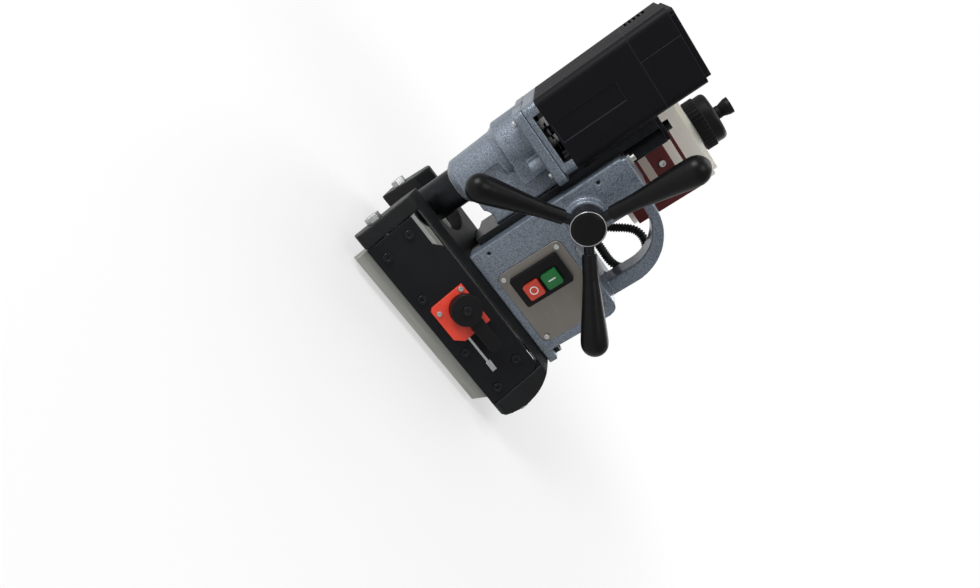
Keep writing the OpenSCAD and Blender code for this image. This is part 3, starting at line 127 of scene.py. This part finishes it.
def ease_edges(tree, shader, radius, height, depth):
    """Rounds the look of edges over a relief, and gives back how near an edge is."""
    flat, sharp = 0.995, 0.85
    rounded = add_node(tree, "ShaderNodeBevel", {"Radius": radius}, samples=6).outputs[0]
    relief = add_node(tree, "ShaderNodeBump", {"Height": height, "Distance": depth, "Normal": rounded})
    set_inputs(tree, shader, {"Normal": relief.outputs[0]})
    true = add_node(tree, "ShaderNodeNewGeometry").outputs["Normal"]
    lean = add_node(tree, "ShaderNodeVectorMath", {0: rounded, 1: true}, operation="DOT_PRODUCT")
    return spread(tree, lean.outputs["Value"], 0.0, 1.0, start=flat, end=sharp)


def mesh_piece(name, mesh):
    """An object for a mesh that already lies in place."""
    mesh.name = name
    piece = bpy.data.objects.new(name, mesh)
    bpy.context.scene.collection.objects.link(piece)
    return piece


def bake(rough, name):
    """The finished mesh of an object with modifiers, as a plain piece."""
    bpy.context.view_layer.update()
    evaluated = rough.evaluated_get(bpy.context.evaluated_depsgraph_get())
    mesh = bpy.data.meshes.new_from_object(evaluated)
    bpy.data.objects.remove(rough)
    mesh.shade_smooth()
    return mesh_piece(name, mesh)


def place(piece, body, slot, finish, *nodes):
    """Gives a piece its finish, its body and the nodes that it stands for. The slot is not used."""
    piece.data.materials.clear()
    piece.data.materials.append(finish)
    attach(piece, body)
    if nodes:
        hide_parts(*nodes)


def casting_of(node, body, slot, finish, voxel, passes):
    """A copy of a CAD casting with rounded edges, which stands for it."""
    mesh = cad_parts[node].data.copy()
    shape = bmesh.new()
    shape.from_mesh(mesh)
    bmesh.ops.remove_doubles(shape, verts=shape.verts, dist=1e-6)
    shape.to_mesh(mesh)
    shape.free()
    rough = mesh_piece(node + "_rough", mesh)
    skin = rough.modifiers.new("skin", "REMESH")
    skin.mode = "VOXEL"
    skin.voxel_size = voxel
    soften = rough.modifiers.new("soften", "SMOOTH")
    soften.factor = 0.5
    soften.iterations = passes
    place(bake(rough, node + "_casting"), body, slot, finish, node)


# Alkyd paint on a sand casting: grains of about 1.2 mm dull the shine and give a soft mottle
casting_black, tree, shader, spot = start_finish("black_paint_on_sand_casting", shine=0.22)
grain = noise(tree, spot, size=0.0012, detail=3.0)
patch = noise(tree, spot, size=0.018, detail=4.0)
edge = ease_edges(tree, shader, radius=0.0016, height=grain, depth=0.00025)
rubbed = arithmetic(tree, "MULTIPLY", edge, patch)
paint = mix(tree, patch, "#0d0e0f", "#1a1b1d")
set_inputs(tree, shader, {"Base Color": mix(tree, rubbed, paint, "#3c3d3f"),
                          "Roughness": spread(tree, patch, 0.36, 0.52)})
casting_of("base_bridge", "frame", "black_casting", casting_black, voxel=0.0011, passes=5)

# Swivel bolts: hexagon-head shoulder bolts at the ends of the four legs.
# Turned steel with bright zinc plating; the same finish goes on the other bright fasteners.


def dress(finish, *nodes):
    """Gives CAD nodes a finish."""
    for name in nodes:
        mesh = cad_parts[name].data
        mesh.materials.clear()
        mesh.materials.append(finish)


zinc, tree, shader, spot = start_finish("bright_zinc_on_steel", metallic=1.0)
cloud = noise(tree, spot, size=0.003, detail=4.0)
ease_edges(tree, shader, radius=0.0005, height=cloud, depth=0.00004)
set_inputs(tree, shader, {"Base Color": mix(tree, cloud, "#a9abac", "#d0d1cf"),
                          "Roughness": spread(tree, cloud, 0.2, 0.42)})
dress(zinc, "pivot_bolts")

# Magnet blocks and pole shoes: long blocks between the legs, and the shoes that lie on the pipe.
# Mild steel, surface ground along the machine, so fine lines run from front to rear.


def lengthwise(tree, spot, share, size):
    """Fine lines from front to rear, of a size across and that size over the share along."""
    along = add_node(tree, "ShaderNodeMapping", {"Vector": spot, "Scale": (share, 1.0, 1.0)})
    return noise(tree, along.outputs[0], size, detail=3.0)


for name, dark, light, fine, parts in (
        ("ground_steel", "#8b8d8c", "#c3c4c0", 0.0006, ("magnet_block", "magnet_rotor")),
        ("ground_pole_steel", "#93958f", "#b9bab2", 0.0009, ("pole_shoe",))):
    steel, tree, shader, spot = start_finish(name, metallic=1.0)
    lines = lengthwise(tree, spot, share=0.02, size=fine)
    cloud = noise(tree, spot, size=0.025, detail=4.0)
    ease_edges(tree, shader, radius=0.0006, height=lines, depth=0.00006)
    set_inputs(tree, shader, {"Base Color": mix(tree, lines, dark, light),
                              "Roughness": spread(tree, cloud, 0.28, 0.5)})
    dress(steel, *[side + part for side in ("near_", "far_") for part in parts])

# Side plates: flat cover plates on the outer face of each magnet.
# Steel sheet with satin black paint, a little paler than the casting, with fine orange peel.
plate_black, tree, shader, spot = start_finish("satin_black_paint_on_plate", shine=0.14)
peel = noise(tree, spot, size=0.0011, detail=2.0)
smear = noise(tree, spot, size=0.03, detail=5.0)
edge = ease_edges(tree, shader, radius=0.0008, height=peel, depth=0.00008)
paint = mix(tree, smear, "#0e0f12", "#17181b")
set_inputs(tree, shader, {"Base Color": mix(tree, edge, paint, "#35363a"),
                          "Roughness": spread(tree, smear, 0.38, 0.56)})
dress(plate_black, "near_side_plate", "far_side_plate")

# Black socket screws of the side plates.
# Hardened steel with an oiled black oxide skin; the same finish goes on the arbor and the slide.
oxide, tree, shader, spot = start_finish("black_oxide_on_steel", metallic=0.75, shine=0.3)
cloud = noise(tree, spot, size=0.006, detail=5.0)
edge = ease_edges(tree, shader, radius=0.0005, height=cloud, depth=0.00004)
skin = mix(tree, cloud, "#131416", "#25272a")
set_inputs(tree, shader, {"Base Color": mix(tree, edge, skin, "#585a5e"),
                          "Roughness": spread(tree, cloud, 0.26, 0.46)})
dress(oxide, "near_plate_screws", "far_plate_screws")

# Lever plates: bright red plates under the levers, each held by two zinc screws.
# Steel plate with red powder coat; its orange peel is about 1 mm across.
red_coat, tree, shader, spot = start_finish("red_powder_coat", coat=0.2)
peel = noise(tree, spot, size=0.001, detail=1.0)
cloud = noise(tree, spot, size=0.012, detail=4.0)
edge = ease_edges(tree, shader, radius=0.0008, height=peel, depth=0.0001)
paint = mix(tree, cloud, "#dc3a26", "#ee4a34")
set_inputs(tree, shader, {"Base Color": mix(tree, edge, paint, "#c4331f"), "Roughness": 0.36})
dress(red_coat, "near_lever_plate", "far_lever_plate")
dress(zinc, "near_lever_plate_screws", "far_lever_plate_screws")

# Levers: a round knob with a flat bar that turns the magnet inside the block.
# Moulded glass-filled nylon, dull black, with a fine spark-eroded grain of about 0.6 mm.
nylon, tree, shader, spot = start_finish("moulded_black_nylon", shine=0.15)
grain = noise(tree, spot, size=0.0006, detail=2.0)
cloud = noise(tree, spot, size=0.02, detail=3.0)
edge = ease_edges(tree, shader, radius=0.001, height=grain, depth=0.00006)
tint = mix(tree, cloud, "#0b0b0d", "#151517")
set_inputs(tree, shader, {"Base Color": mix(tree, edge, tint, "#262629"), "Roughness": 0.48})
dress(nylon, "near_lever", "far_lever")
dress(oxide, "near_lever_screw", "far_lever_screw")

# Bright strips: a narrow steel strip with a tab, on each side plate below its lever.
# Cold-rolled steel, lying flat on the plate and ending behind the red plate.


def shape_piece(name, shape):
    """An object for a finished bmesh that already lies in place."""
    mesh = bpy.data.meshes.new(name)
    shape.to_mesh(mesh)
    shape.free()
    return mesh_piece(name, mesh)


strip_x, strip_len, strip_w, strip_t = 0.114, 0.046, 0.0024, 0.0012
tab_len, tab_w, strip_below, strip_sunk = 0.012, 0.0052, 0.0145, 0.0002
tab_x, magnet_lean = strip_len - tab_len, math.radians(25)
outline = [(0, -strip_w), (tab_x, -strip_w), (tab_x, -tab_w), (strip_len, -tab_w),
           (strip_len, tab_w), (tab_x, tab_w), (tab_x, strip_w), (0, strip_w)]
for side, sign in (("near", -1), ("far", 1)):
    outward = Vector((0, sign * math.cos(magnet_lean), math.sin(magnet_lean)))
    downhill = Vector((0, sign * math.sin(magnet_lean), -math.cos(magnet_lean)))
    face = max(v.co.dot(outward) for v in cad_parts[side + "_side_plate"].data.vertices)
    low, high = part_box(side + "_lever_screw")
    row = ((low + high) / 2).dot(downhill) + strip_below
    shape = bmesh.new()
    sheet = shape.faces.new([
        shape.verts.new(outward * (face - strip_sunk) + downhill * (row + w / 2) + Vector((strip_x + x, 0, 0)))
        for x, w in outline])
    raised = bmesh.ops.extrude_face_region(shape, geom=[sheet])
    bmesh.ops.translate(shape, vec=outward * strip_t,
                        verts=[v for v in raised["geom"] if isinstance(v, bmesh.types.BMVert)])
    bmesh.ops.recalc_face_normals(shape, faces=shape.faces)
    place(shape_piece(side + "_bright_strip", shape), side + "_magnet", "bright_steel", zinc)

# Column: a hollow casting with the slide way in front and a carrying handle behind.
# Cast aluminium under grey-blue hammertone enamel, whose cells of about 1.4 mm catch the light.
# The same enamel goes on the gearbox, where the exhaust recess in the lid is painted near black as shade.


def cells(tree, spot, size):
    """Soft cells of a size in metres, as the distance from their middles."""
    grid = {"Vector": spot, "Scale": 1 / size}
    return add_node(tree, "ShaderNodeTexVoronoi", grid, feature="SMOOTH_F1").outputs["Distance"]


hammertone, tree, shader, spot = start_finish("grey_hammertone_enamel", metallic=0.35, coat=0.5)
hammered = cells(tree, spot, size=0.0014)
flake = noise(tree, spot, size=0.0008, detail=2.0)
patch = noise(tree, spot, size=0.03, detail=4.0)
ease_edges(tree, shader, radius=0.0016, height=hammered, depth=0.0003)
hill = spread(tree, hammered, 0.0, 1.0, start=0.1, end=0.75)
glint = spread(tree, flake, 0.0, 0.55, start=0.56, end=0.72)
enamel = mix(tree, glint, mix(tree, hill, "#76808d", "#4d5661"), "#a3abb5")
low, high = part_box("field_pack")
recess_x, recess_z = (low.x + high.x) / 2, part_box("gearbox_lid")[1].z
recess_half, recess_deep = 0.0255, 0.0085
at = add_node(tree, "ShaderNodeSeparateXYZ", {0: spot}).outputs
# Painted shade: inside the lid's exhaust recess the enamel turns near black, where shade falls
painted_recess_shade = arithmetic(tree, "MULTIPLY", arithmetic(tree, "COMPARE", at["X"], recess_x, recess_half),
                  arithmetic(tree, "COMPARE", at["Z"], recess_z, recess_deep))
set_inputs(tree, shader, {"Base Color": mix(tree, painted_recess_shade, enamel, "#0e0f11"),
                          "Roughness": spread(tree, patch, 0.3, 0.48), "Coat Roughness": 0.14})
casting_of("column_housing", "frame", "hammertone_casting", hammertone, voxel=0.0012, passes=5)

# Column hardware: bolts through the rear lip, the gib strip with its screws, and the keeper on top.
# Black oxide bolts, a bronze gib that the slide rubs on, and a zinc keeper.
bronze, tree, shader, spot = start_finish("turned_bearing_bronze", metallic=1.0)
cloud = noise(tree, spot, size=0.005, detail=4.0)
ease_edges(tree, shader, radius=0.0005, height=cloud, depth=0.00004)
set_inputs(tree, shader, {"Base Color": mix(tree, cloud, "#8c6a3c", "#b58e55"), "Roughness": 0.3})
dress(bronze, "gib_strip", "feed_bushes")
dress(oxide, "housing_bolts", "gib_screws")
dress(zinc, "gib_keeper")

# Control panel: a plate let into the near side of the column, with four corner screws.
# Brushed and anodised aluminium in grey-beige, brushed from front to rear, left without print.
anodised, tree, shader, spot = start_finish("brushed_anodised_aluminium", metallic=0.6)
lines = lengthwise(tree, spot, share=0.015, size=0.0005)
cloud = noise(tree, spot, size=0.03, detail=3.0)
edge = ease_edges(tree, shader, radius=0.0009, height=lines, depth=0.00004)
tint = mix(tree, lines, "#67635e", "#8b867f")
set_inputs(tree, shader, {"Base Color": mix(tree, edge, tint, "#b3afa8"),
                          "Roughness": spread(tree, cloud, 0.34, 0.5)})
dress(anodised, "control_panel")
dress(zinc, "panel_screws")

# Switch: a black frame with a green start key and a red stop key, marked I and O in white.
# Moulded polycarbonate, glossy keys in a satin frame; the marks are printed on the keys.
dress(nylon, "switch_body")
for key, dark, light in (("start_button", "#0f5c28", "#187a38"), ("stop_button", "#bc3727", "#d24a38")):
    gloss, tree, shader, spot = start_finish("moulded_" + key + "_polycarbonate", shine=0.35)
    cloud = noise(tree, spot, size=0.006, detail=2.0)
    ease_edges(tree, shader, radius=0.0012, height=cloud, depth=0.00005)
    set_inputs(tree, shader, {"Base Color": mix(tree, cloud, dark, light),
                              "Roughness": spread(tree, cloud, 0.18, 0.32)})
    dress(gloss, key)


def near_face(node):
    """The middle of a CAD node's near face."""
    low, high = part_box(node)
    return Vector(((low.x + high.x) / 2, low.y, (low.z + high.z) / 2))


def ring_about_y(name, centre, outline, steps):
    """A ring about a line along Y through centre, from a closed outline of radius and Y."""
    shape = bmesh.new()
    loops = [[shape.verts.new(centre + Vector((r * math.cos(a), y, r * math.sin(a)))) for r, y in outline]
             for a in (2 * math.pi * i / steps for i in range(steps))]
    for here, after in zip(loops, loops[1:] + loops[:1]):
        for i in range(len(outline)):
            j = (i + 1) % len(outline)
            shape.faces.new((here[i], here[j], after[j], after[i]))
    bmesh.ops.recalc_face_normals(shape, faces=shape.faces)
    return shape_piece(name, shape)


print_white, tree, shader, spot = start_finish("white_pad_print")
speck = noise(tree, spot, size=0.0009, detail=2.0)
set_inputs(tree, shader, {"Base Color": mix(tree, speck, "#d9d9d4", "#f3f3ee"), "Roughness": 0.4})
mark_t, mark_sunk, bar_w, bar_len, ring_in, ring_out = 0.00012, 0.0001, 0.0013, 0.008, 0.0033, 0.0043
shape = bmesh.new()
bmesh.ops.create_cube(shape, size=1.0, matrix=Matrix.Translation(near_face("start_button"))
                      @ Matrix.Diagonal((bar_w, 2 * mark_t, bar_len, 1)))
place(shape_piece("start_mark", shape), "start_key", "green_plastic", print_white)
outline = [(ring_in, mark_sunk), (ring_out, mark_sunk), (ring_out, -mark_t), (ring_in, -mark_t)]
place(ring_about_y("stop_mark", near_face("stop_button"), outline, steps=64),
      "stop_key", "red_plastic", print_white)

# Feed wheel: a capped hub with three leaning arms and tapered grips, on the pinion shaft.
# Glossy moulded phenolic hub and grips, oxide black arms, and a thin bright rim round the hub.
phenolic, tree, shader, spot = start_finish("moulded_black_phenolic", shine=0.14)
flow = noise(tree, spot, size=0.009, detail=4.0)
haze = noise(tree, spot, size=0.0011, detail=2.0)
ease_edges(tree, shader, radius=0.0008, height=haze, depth=0.00003)
set_inputs(tree, shader, {"Base Color": mix(tree, flow, "#08080a", "#101012"),
                          "Roughness": spread(tree, flow, 0.24, 0.42)})
dress(phenolic, "feed_hub", "hub_cap", "feed_grips")
dress(oxide, "feed_arms")
dress(zinc, "feed_pinion", "feed_rack")
low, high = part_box("feed_hub")
hub_r = (high.x - low.x) / 2
rim_profile = ((0.0013, 0.0006), (0.0013, -0.0002), (0.0008, -0.0004), (0.0003, -0.0002), (0.0002, 0.0006))
outline = [(hub_r - inset, y) for inset, y in rim_profile]
place(ring_about_y("hub_rim", near_face("feed_hub"), outline, steps=96), "feed_wheel", "bright_steel", zinc)

# Slide: the long dovetail bar that the drill rides on, with its top plate and screw.
# Machined steel with an oiled black oxide skin.
dress(oxide, "dovetail_slide", "slide_top_plate", "slide_top_screw")

# Gearbox: a stepped case and its lid, which bolts to the slide and carries the motor.
# Cast aluminium in the same hammertone enamel as the column, with zinc screws.
casting_of("gearbox_case", "carriage", "hammertone_casting", hammertone, voxel=0.0009, passes=4)
casting_of("gearbox_lid", "carriage", "hammertone_casting", hammertone, voxel=0.0008, passes=3)
dress(zinc, "lid_screws", "gear_bearings", "layshaft")

# Motor: a square case and its end cap round the field pack and the armature.
# Moulded glass-filled ABS in black with a fine leathery grain, and zinc screws at the corners.
abs_black, tree, shader, spot = start_finish("textured_black_abs", shine=0.1)
grain = cells(tree, spot, size=0.0009)
cloud = noise(tree, spot, size=0.04, detail=4.0)
edge = ease_edges(tree, shader, radius=0.0012, height=grain, depth=0.00012)
tint = mix(tree, cloud, "#0a0a0d", "#121216")
set_inputs(tree, shader, {"Base Color": mix(tree, edge, tint, "#2b2b30"),
                          "Roughness": spread(tree, cloud, 0.42, 0.58)})
dress(abs_black, "motor_case", "motor_end_cap")
dress(zinc, "end_cap_screws")

# Motor core: the field pack and the armature, inside the case.
# Varnished steel laminations, stacked upwards in bands of about 2 mm, and copper tones.
# Below them the core is near black: the armature's moulded fan, and painted shade inside the case that shows
# through the exhaust slots.
fan_and_shade_high, wave_size, core_metallic = 0.021, 0.0063, 0.8
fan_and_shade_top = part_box("gearbox_lid")[1].z + fan_and_shade_high
core, tree, shader, spot = start_finish("varnished_laminations")
stack = add_node(tree, "ShaderNodeTexWave", {"Vector": spot, "Scale": 1 / wave_size, "Distortion": 0.4},
                 bands_direction="Z").outputs["Fac"]
ease_edges(tree, shader, radius=0.0004, height=stack, depth=0.0001)
tint = mix(tree, stack, "#4a3324", "#8a6748")
height = add_node(tree, "ShaderNodeSeparateXYZ", {0: spot}).outputs["Z"]
# Painted shade: below the top of the fan the core is near black, for the fan and for the shade inside the case
wound = arithmetic(tree, "GREATER_THAN", height, fan_and_shade_top)
set_inputs(tree, shader, {"Base Color": mix(tree, wound, "#0c0c0e", tint), "Roughness": 0.4,
                          "Metallic": arithmetic(tree, "MULTIPLY", wound, core_metallic)})
dress(core, "field_pack", "armature")

# Spindle: the arbor under the gearbox that takes the cutter, with its two set screws.
# Turned and blackened steel.
dress(oxide, "spindle", "arbor_screws")

# Bottle bracket: a slotted sheet with a tab, screwed to the far side of the column.
# Folded steel sheet with dark red powder coat.
maroon, tree, shader, spot = start_finish("maroon_powder_coat", shine=0.3)
peel = noise(tree, spot, size=0.0012, detail=1.0)
cloud = noise(tree, spot, size=0.02, detail=4.0)
edge = ease_edges(tree, shader, radius=0.0007, height=peel, depth=0.00008)
paint = mix(tree, cloud, "#4d1516", "#672020")
set_inputs(tree, shader, {"Base Color": mix(tree, edge, paint, "#83393a"), "Roughness": 0.4})
dress(maroon, "bottle_bracket")
dress(zinc, "bracket_screws")

# Coolant bottle: a flat-sided bottle with a ribbed cap and a push-pull spout.
# Blow-moulded milky polyethylene with a painted glow that stands in for the light
# its thin wall lets through, and a black moulded cap.
milky, tree, shader, spot = start_finish("milky_polyethylene")
cloud = noise(tree, spot, size=0.02, detail=4.0)
grain = noise(tree, spot, size=0.0012, detail=2.0)
ease_edges(tree, shader, radius=0.0015, height=grain, depth=0.00006)
tint = mix(tree, cloud, "#d8d6cb", "#e6e4db")
# Painted light: the emission makes the bottle glow, though it is no lamp
set_inputs(tree, shader, {"Base Color": tint, "Roughness": 0.42,
                          "Subsurface Weight": 0.25, "Subsurface Scale": 0.004,
                          "Emission Color": tint, "Emission Strength": 0.15})
dress(milky, "coolant_bottle")
dress(nylon, "bottle_cap", "bottle_spout")

# Conduit: a ribbed hose from the column's gland, looped in the handle's opening, to the motor's gland.
# Corrugated polyamide tube; its ends stay in their glands.
# Its line runs straight out of the column, round the loop, past the column and round a bend into the motor.
conduit_r, conduit_root, conduit_ribs, conduit_sides = 0.00475, 0.00375, 110, 24
gland_xs, gland_y, gland_z = (0.1184, 0.13, 0.145), 0.027, 0.187
loop_mid, loop_r, drift_from, drift = Vector((0.16, 0.027, 0.208)), 0.021, 30, 0.00005
past_column_mm = ((134.5, 36.5, 206.5), (126, 40.8, 196), (115, 45.8, 189.5), (102, 51, 187.5),
                  (88, 55.2, 189.5), (74, 60.5, 193.5), (61, 69, 200.5))
bend_start, bend_r, bend_lean = Vector((0.027, 0.0604, 0.239)), 0.022, math.radians(37)
motor_end, steps_a_stop = Vector((0.027, 0.0544, 0.239)), 12
stops = [Vector((x, gland_y, gland_z)) for x in gland_xs]
for degrees in range(-90, 151, 30):
    a = math.radians(degrees)
    aside = drift * max(0, degrees - drift_from)
    stops.append(loop_mid + Vector((loop_r * math.cos(a), aside, loop_r * math.sin(a))))
stops += [Vector(at) / 1000 for at in past_column_mm]
bend_way = Vector((math.sin(bend_lean), 0, -math.cos(bend_lean)))
for degrees in range(120, -1, -30):
    a = math.radians(degrees)
    stops.append(bend_start + bend_r * (Vector((0, math.sin(a), 0)) + bend_way * (1 - math.cos(a))))
stops.append(motor_end)
stops = stops[:1] + stops + stops[-1:]
line = []
for a, b, c, d in zip(stops, stops[1:], stops[2:], stops[3:]):
    for t in (i / steps_a_stop for i in range(steps_a_stop)):
        line.append(0.5 * (2 * b + (c - a) * t + (2 * a - 5 * b + 4 * c - d) * t ** 2
                           + (3 * b - a - 3 * c + d) * t ** 3))
line.append(stops[-2])
curve = bpy.data.curves.new("conduit_line", "CURVE")
curve.dimensions = "3D"
spline = curve.splines.new("POLY")
spline.points.add(len(line) - 1)
for point, at in zip(spline.points, line):
    point.co = (*at, 1)
polyamide, tree, shader, spot = start_finish("corrugated_black_polyamide", shine=0.3)
grain = noise(tree, spot, size=0.002, detail=3.0)
ease_edges(tree, shader, radius=0.0004, height=grain, depth=0.00005)
set_inputs(tree, shader, {"Base Color": mix(tree, grain, "#09090b", "#161618"), "Roughness": 0.44})
# Of the four rings that make each rib, the two in the middle stand at its crest
rings_a_rib, crest_middle, crest_reach = 4, 1.5, 0.6
ribs = bpy.data.node_groups.new("conduit_ribs", "GeometryNodeTree")
ribs.interface.new_socket("Geometry", in_out="INPUT", socket_type="NodeSocketGeometry")
sizes = [(ribs.interface.new_socket(name, in_out="INPUT", socket_type=kind), value) for name, kind, value in (
    ("Ribs", "NodeSocketInt", conduit_ribs), ("Crest", "NodeSocketFloat", conduit_r),
    ("Root", "NodeSocketFloat", conduit_root))]
ribs.interface.new_socket("Geometry", in_out="OUTPUT", socket_type="NodeSocketGeometry")
given = add_node(ribs, "NodeGroupInput").outputs
rings = arithmetic(ribs, "MULTIPLY", given["Ribs"], rings_a_rib)
even = add_node(ribs, "GeometryNodeResampleCurve", {"Curve": given["Geometry"], "Count": rings})
ring = arithmetic(ribs, "MODULO", add_node(ribs, "GeometryNodeInputIndex").outputs[0], rings_a_rib)
crest = arithmetic(ribs, "COMPARE", ring, crest_middle, crest_reach)
width = add_node(ribs, "ShaderNodeMix", {0: crest, 2: given["Root"], 3: given["Crest"]}).outputs[0]
ringed = add_node(ribs, "GeometryNodeSetCurveRadius", {"Curve": even.outputs[0], "Radius": width})
circle = add_node(ribs, "GeometryNodeCurvePrimitiveCircle", {"Resolution": conduit_sides, "Radius": 1.0})
tube = add_node(ribs, "GeometryNodeCurveToMesh", {
    "Curve": ringed.outputs[0], "Profile Curve": circle.outputs[0], "Scale": width, "Fill Caps": True})
whole = add_node(ribs, "GeometryNodeRealizeInstances", {"Geometry": tube.outputs[0]})
dressed = add_node(ribs, "GeometryNodeSetMaterial", {"Geometry": whole.outputs[0], "Material": polyamide})
add_node(ribs, "NodeGroupOutput", {"Geometry": dressed.outputs[0]})
rough = bpy.data.objects.new("conduit_rough", curve)
bpy.context.scene.collection.objects.link(rough)
made = rough.modifiers.new("ribs", "NODES")
made.node_group = ribs
for socket, value in sizes:
    made[socket.identifier] = value
conduit = bake(rough, "ribbed_conduit")
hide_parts("motor_conduit")
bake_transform(conduit)
dress(nylon, "housing_gland", "motor_gland")

# Camera and stage: the photographed view, with the machine leaning over in the picture.
# A white floor and room that the metal mirrors, and four soft lamps.
yaw, pitch, roll = (math.radians(a) for a in (18.2, 17.8, -57.85))
camera_at, focal_px, picture_px, sensor = (-0.114, -0.6925, 0.3014), 724, 980, 36.0
ahead = Vector((math.sin(yaw) * math.cos(pitch), math.cos(yaw) * math.cos(pitch), -math.sin(pitch)))
level = Vector((math.cos(yaw), -math.sin(yaw), 0))
below = -Vector((math.sin(yaw) * math.sin(pitch), math.cos(yaw) * math.sin(pitch), math.cos(pitch)))
right = level * math.cos(roll) + below * math.sin(roll)
under = below * math.cos(roll) - level * math.sin(roll)
lens = bpy.data.cameras.new("camera")
lens.sensor_width = sensor
lens.lens = focal_px * sensor / picture_px
lens.clip_start = 0.01
camera = bpy.data.objects.new("camera", lens)
turn = Matrix((right, -under, -ahead)).transposed().to_4x4()
camera.matrix_world = Matrix.Translation(camera_at) @ turn
bpy.context.scene.collection.objects.link(camera)
bpy.context.scene.camera = camera
middle = Vector((0.08, 0, 0.18))
for name, way, far, size, watts in (
        ("key", -under * 0.75 - right * 0.35 - ahead * 0.7, 1.3, 0.6, 15),
        ("fill", right * 0.6 - ahead * 0.9 - under * 0.2, 1.4, 0.6, 4.5),
        ("top", Vector((0.1, 0.3, 1.0)), 1.3, 0.9, 7),
        ("rear", Vector((0.8, 0.9, 0.5)), 1.4, 0.8, 5)):
    lamp = bpy.data.lights.new(name, "AREA")
    lamp.energy = watts
    lamp.size = size
    shone = bpy.data.objects.new(name, lamp)
    shone.location = middle + way.normalized() * far
    shone.rotation_euler = (-way).to_track_quat("-Z", "Y").to_euler()
    bpy.context.scene.collection.objects.link(shone)


def seen_share(tree, mirrored=0.35):
    """How white a ray finds the room: wholly from the camera, partly from a shiny face, else not."""
    rays = add_node(tree, "ShaderNodeLightPath").outputs
    glossy = arithmetic(tree, "MULTIPLY", rays["Is Glossy Ray"], mirrored)
    return arithmetic(tree, "MAXIMUM", rays["Is Camera Ray"], glossy)


room_light = 0.2
world = bpy.data.worlds.new("white_room")
bpy.context.scene.world = world
world.use_nodes = True
tree = world.node_tree
set_inputs(tree, tree.nodes["Background"], {"Color": (1, 1, 1, 1),
                                            "Strength": spread(tree, seen_share(tree), room_light, 1.0)})
# The floor is plain white to the camera from far_r on, and takes shadows within near_r
floor_half, floor_gap, floor_grey, near_r, far_r, near_white = 6.0, 0.0005, 0.85, 0.2, 0.7, 0.55
floor_white = bpy.data.materials.new("white_floor")
floor_white.use_nodes = True
tree = floor_white.node_tree
spot = add_node(tree, "ShaderNodeTexCoord").outputs["Object"]
away = add_node(tree, "ShaderNodeVectorMath", {0: spot}, operation="LENGTH").outputs["Value"]
plain = spread(tree, away, near_white, 1.0, start=near_r, end=far_r, interpolation_type="SMOOTHSTEP")
share = arithmetic(tree, "MULTIPLY", seen_share(tree), plain)
matt = add_node(tree, "ShaderNodeBsdfDiffuse", {"Color": (floor_grey, floor_grey, floor_grey, 1)})
bright = add_node(tree, "ShaderNodeEmission")
mixed = add_node(tree, "ShaderNodeMixShader", {0: share, 1: matt.outputs[0], 2: bright.outputs[0]})
set_inputs(tree, tree.nodes["Material Output"], {"Surface": mixed.outputs[0]})
shape = bmesh.new()
bmesh.ops.create_grid(shape, x_segments=1, y_segments=1, size=floor_half)
floor = shape_piece("floor", shape)
floor.data.materials.append(floor_white)
floor.location.z = cad_box[0][2] - floor_gap
bpy.context.scene.view_settings.view_transform = "Standard"
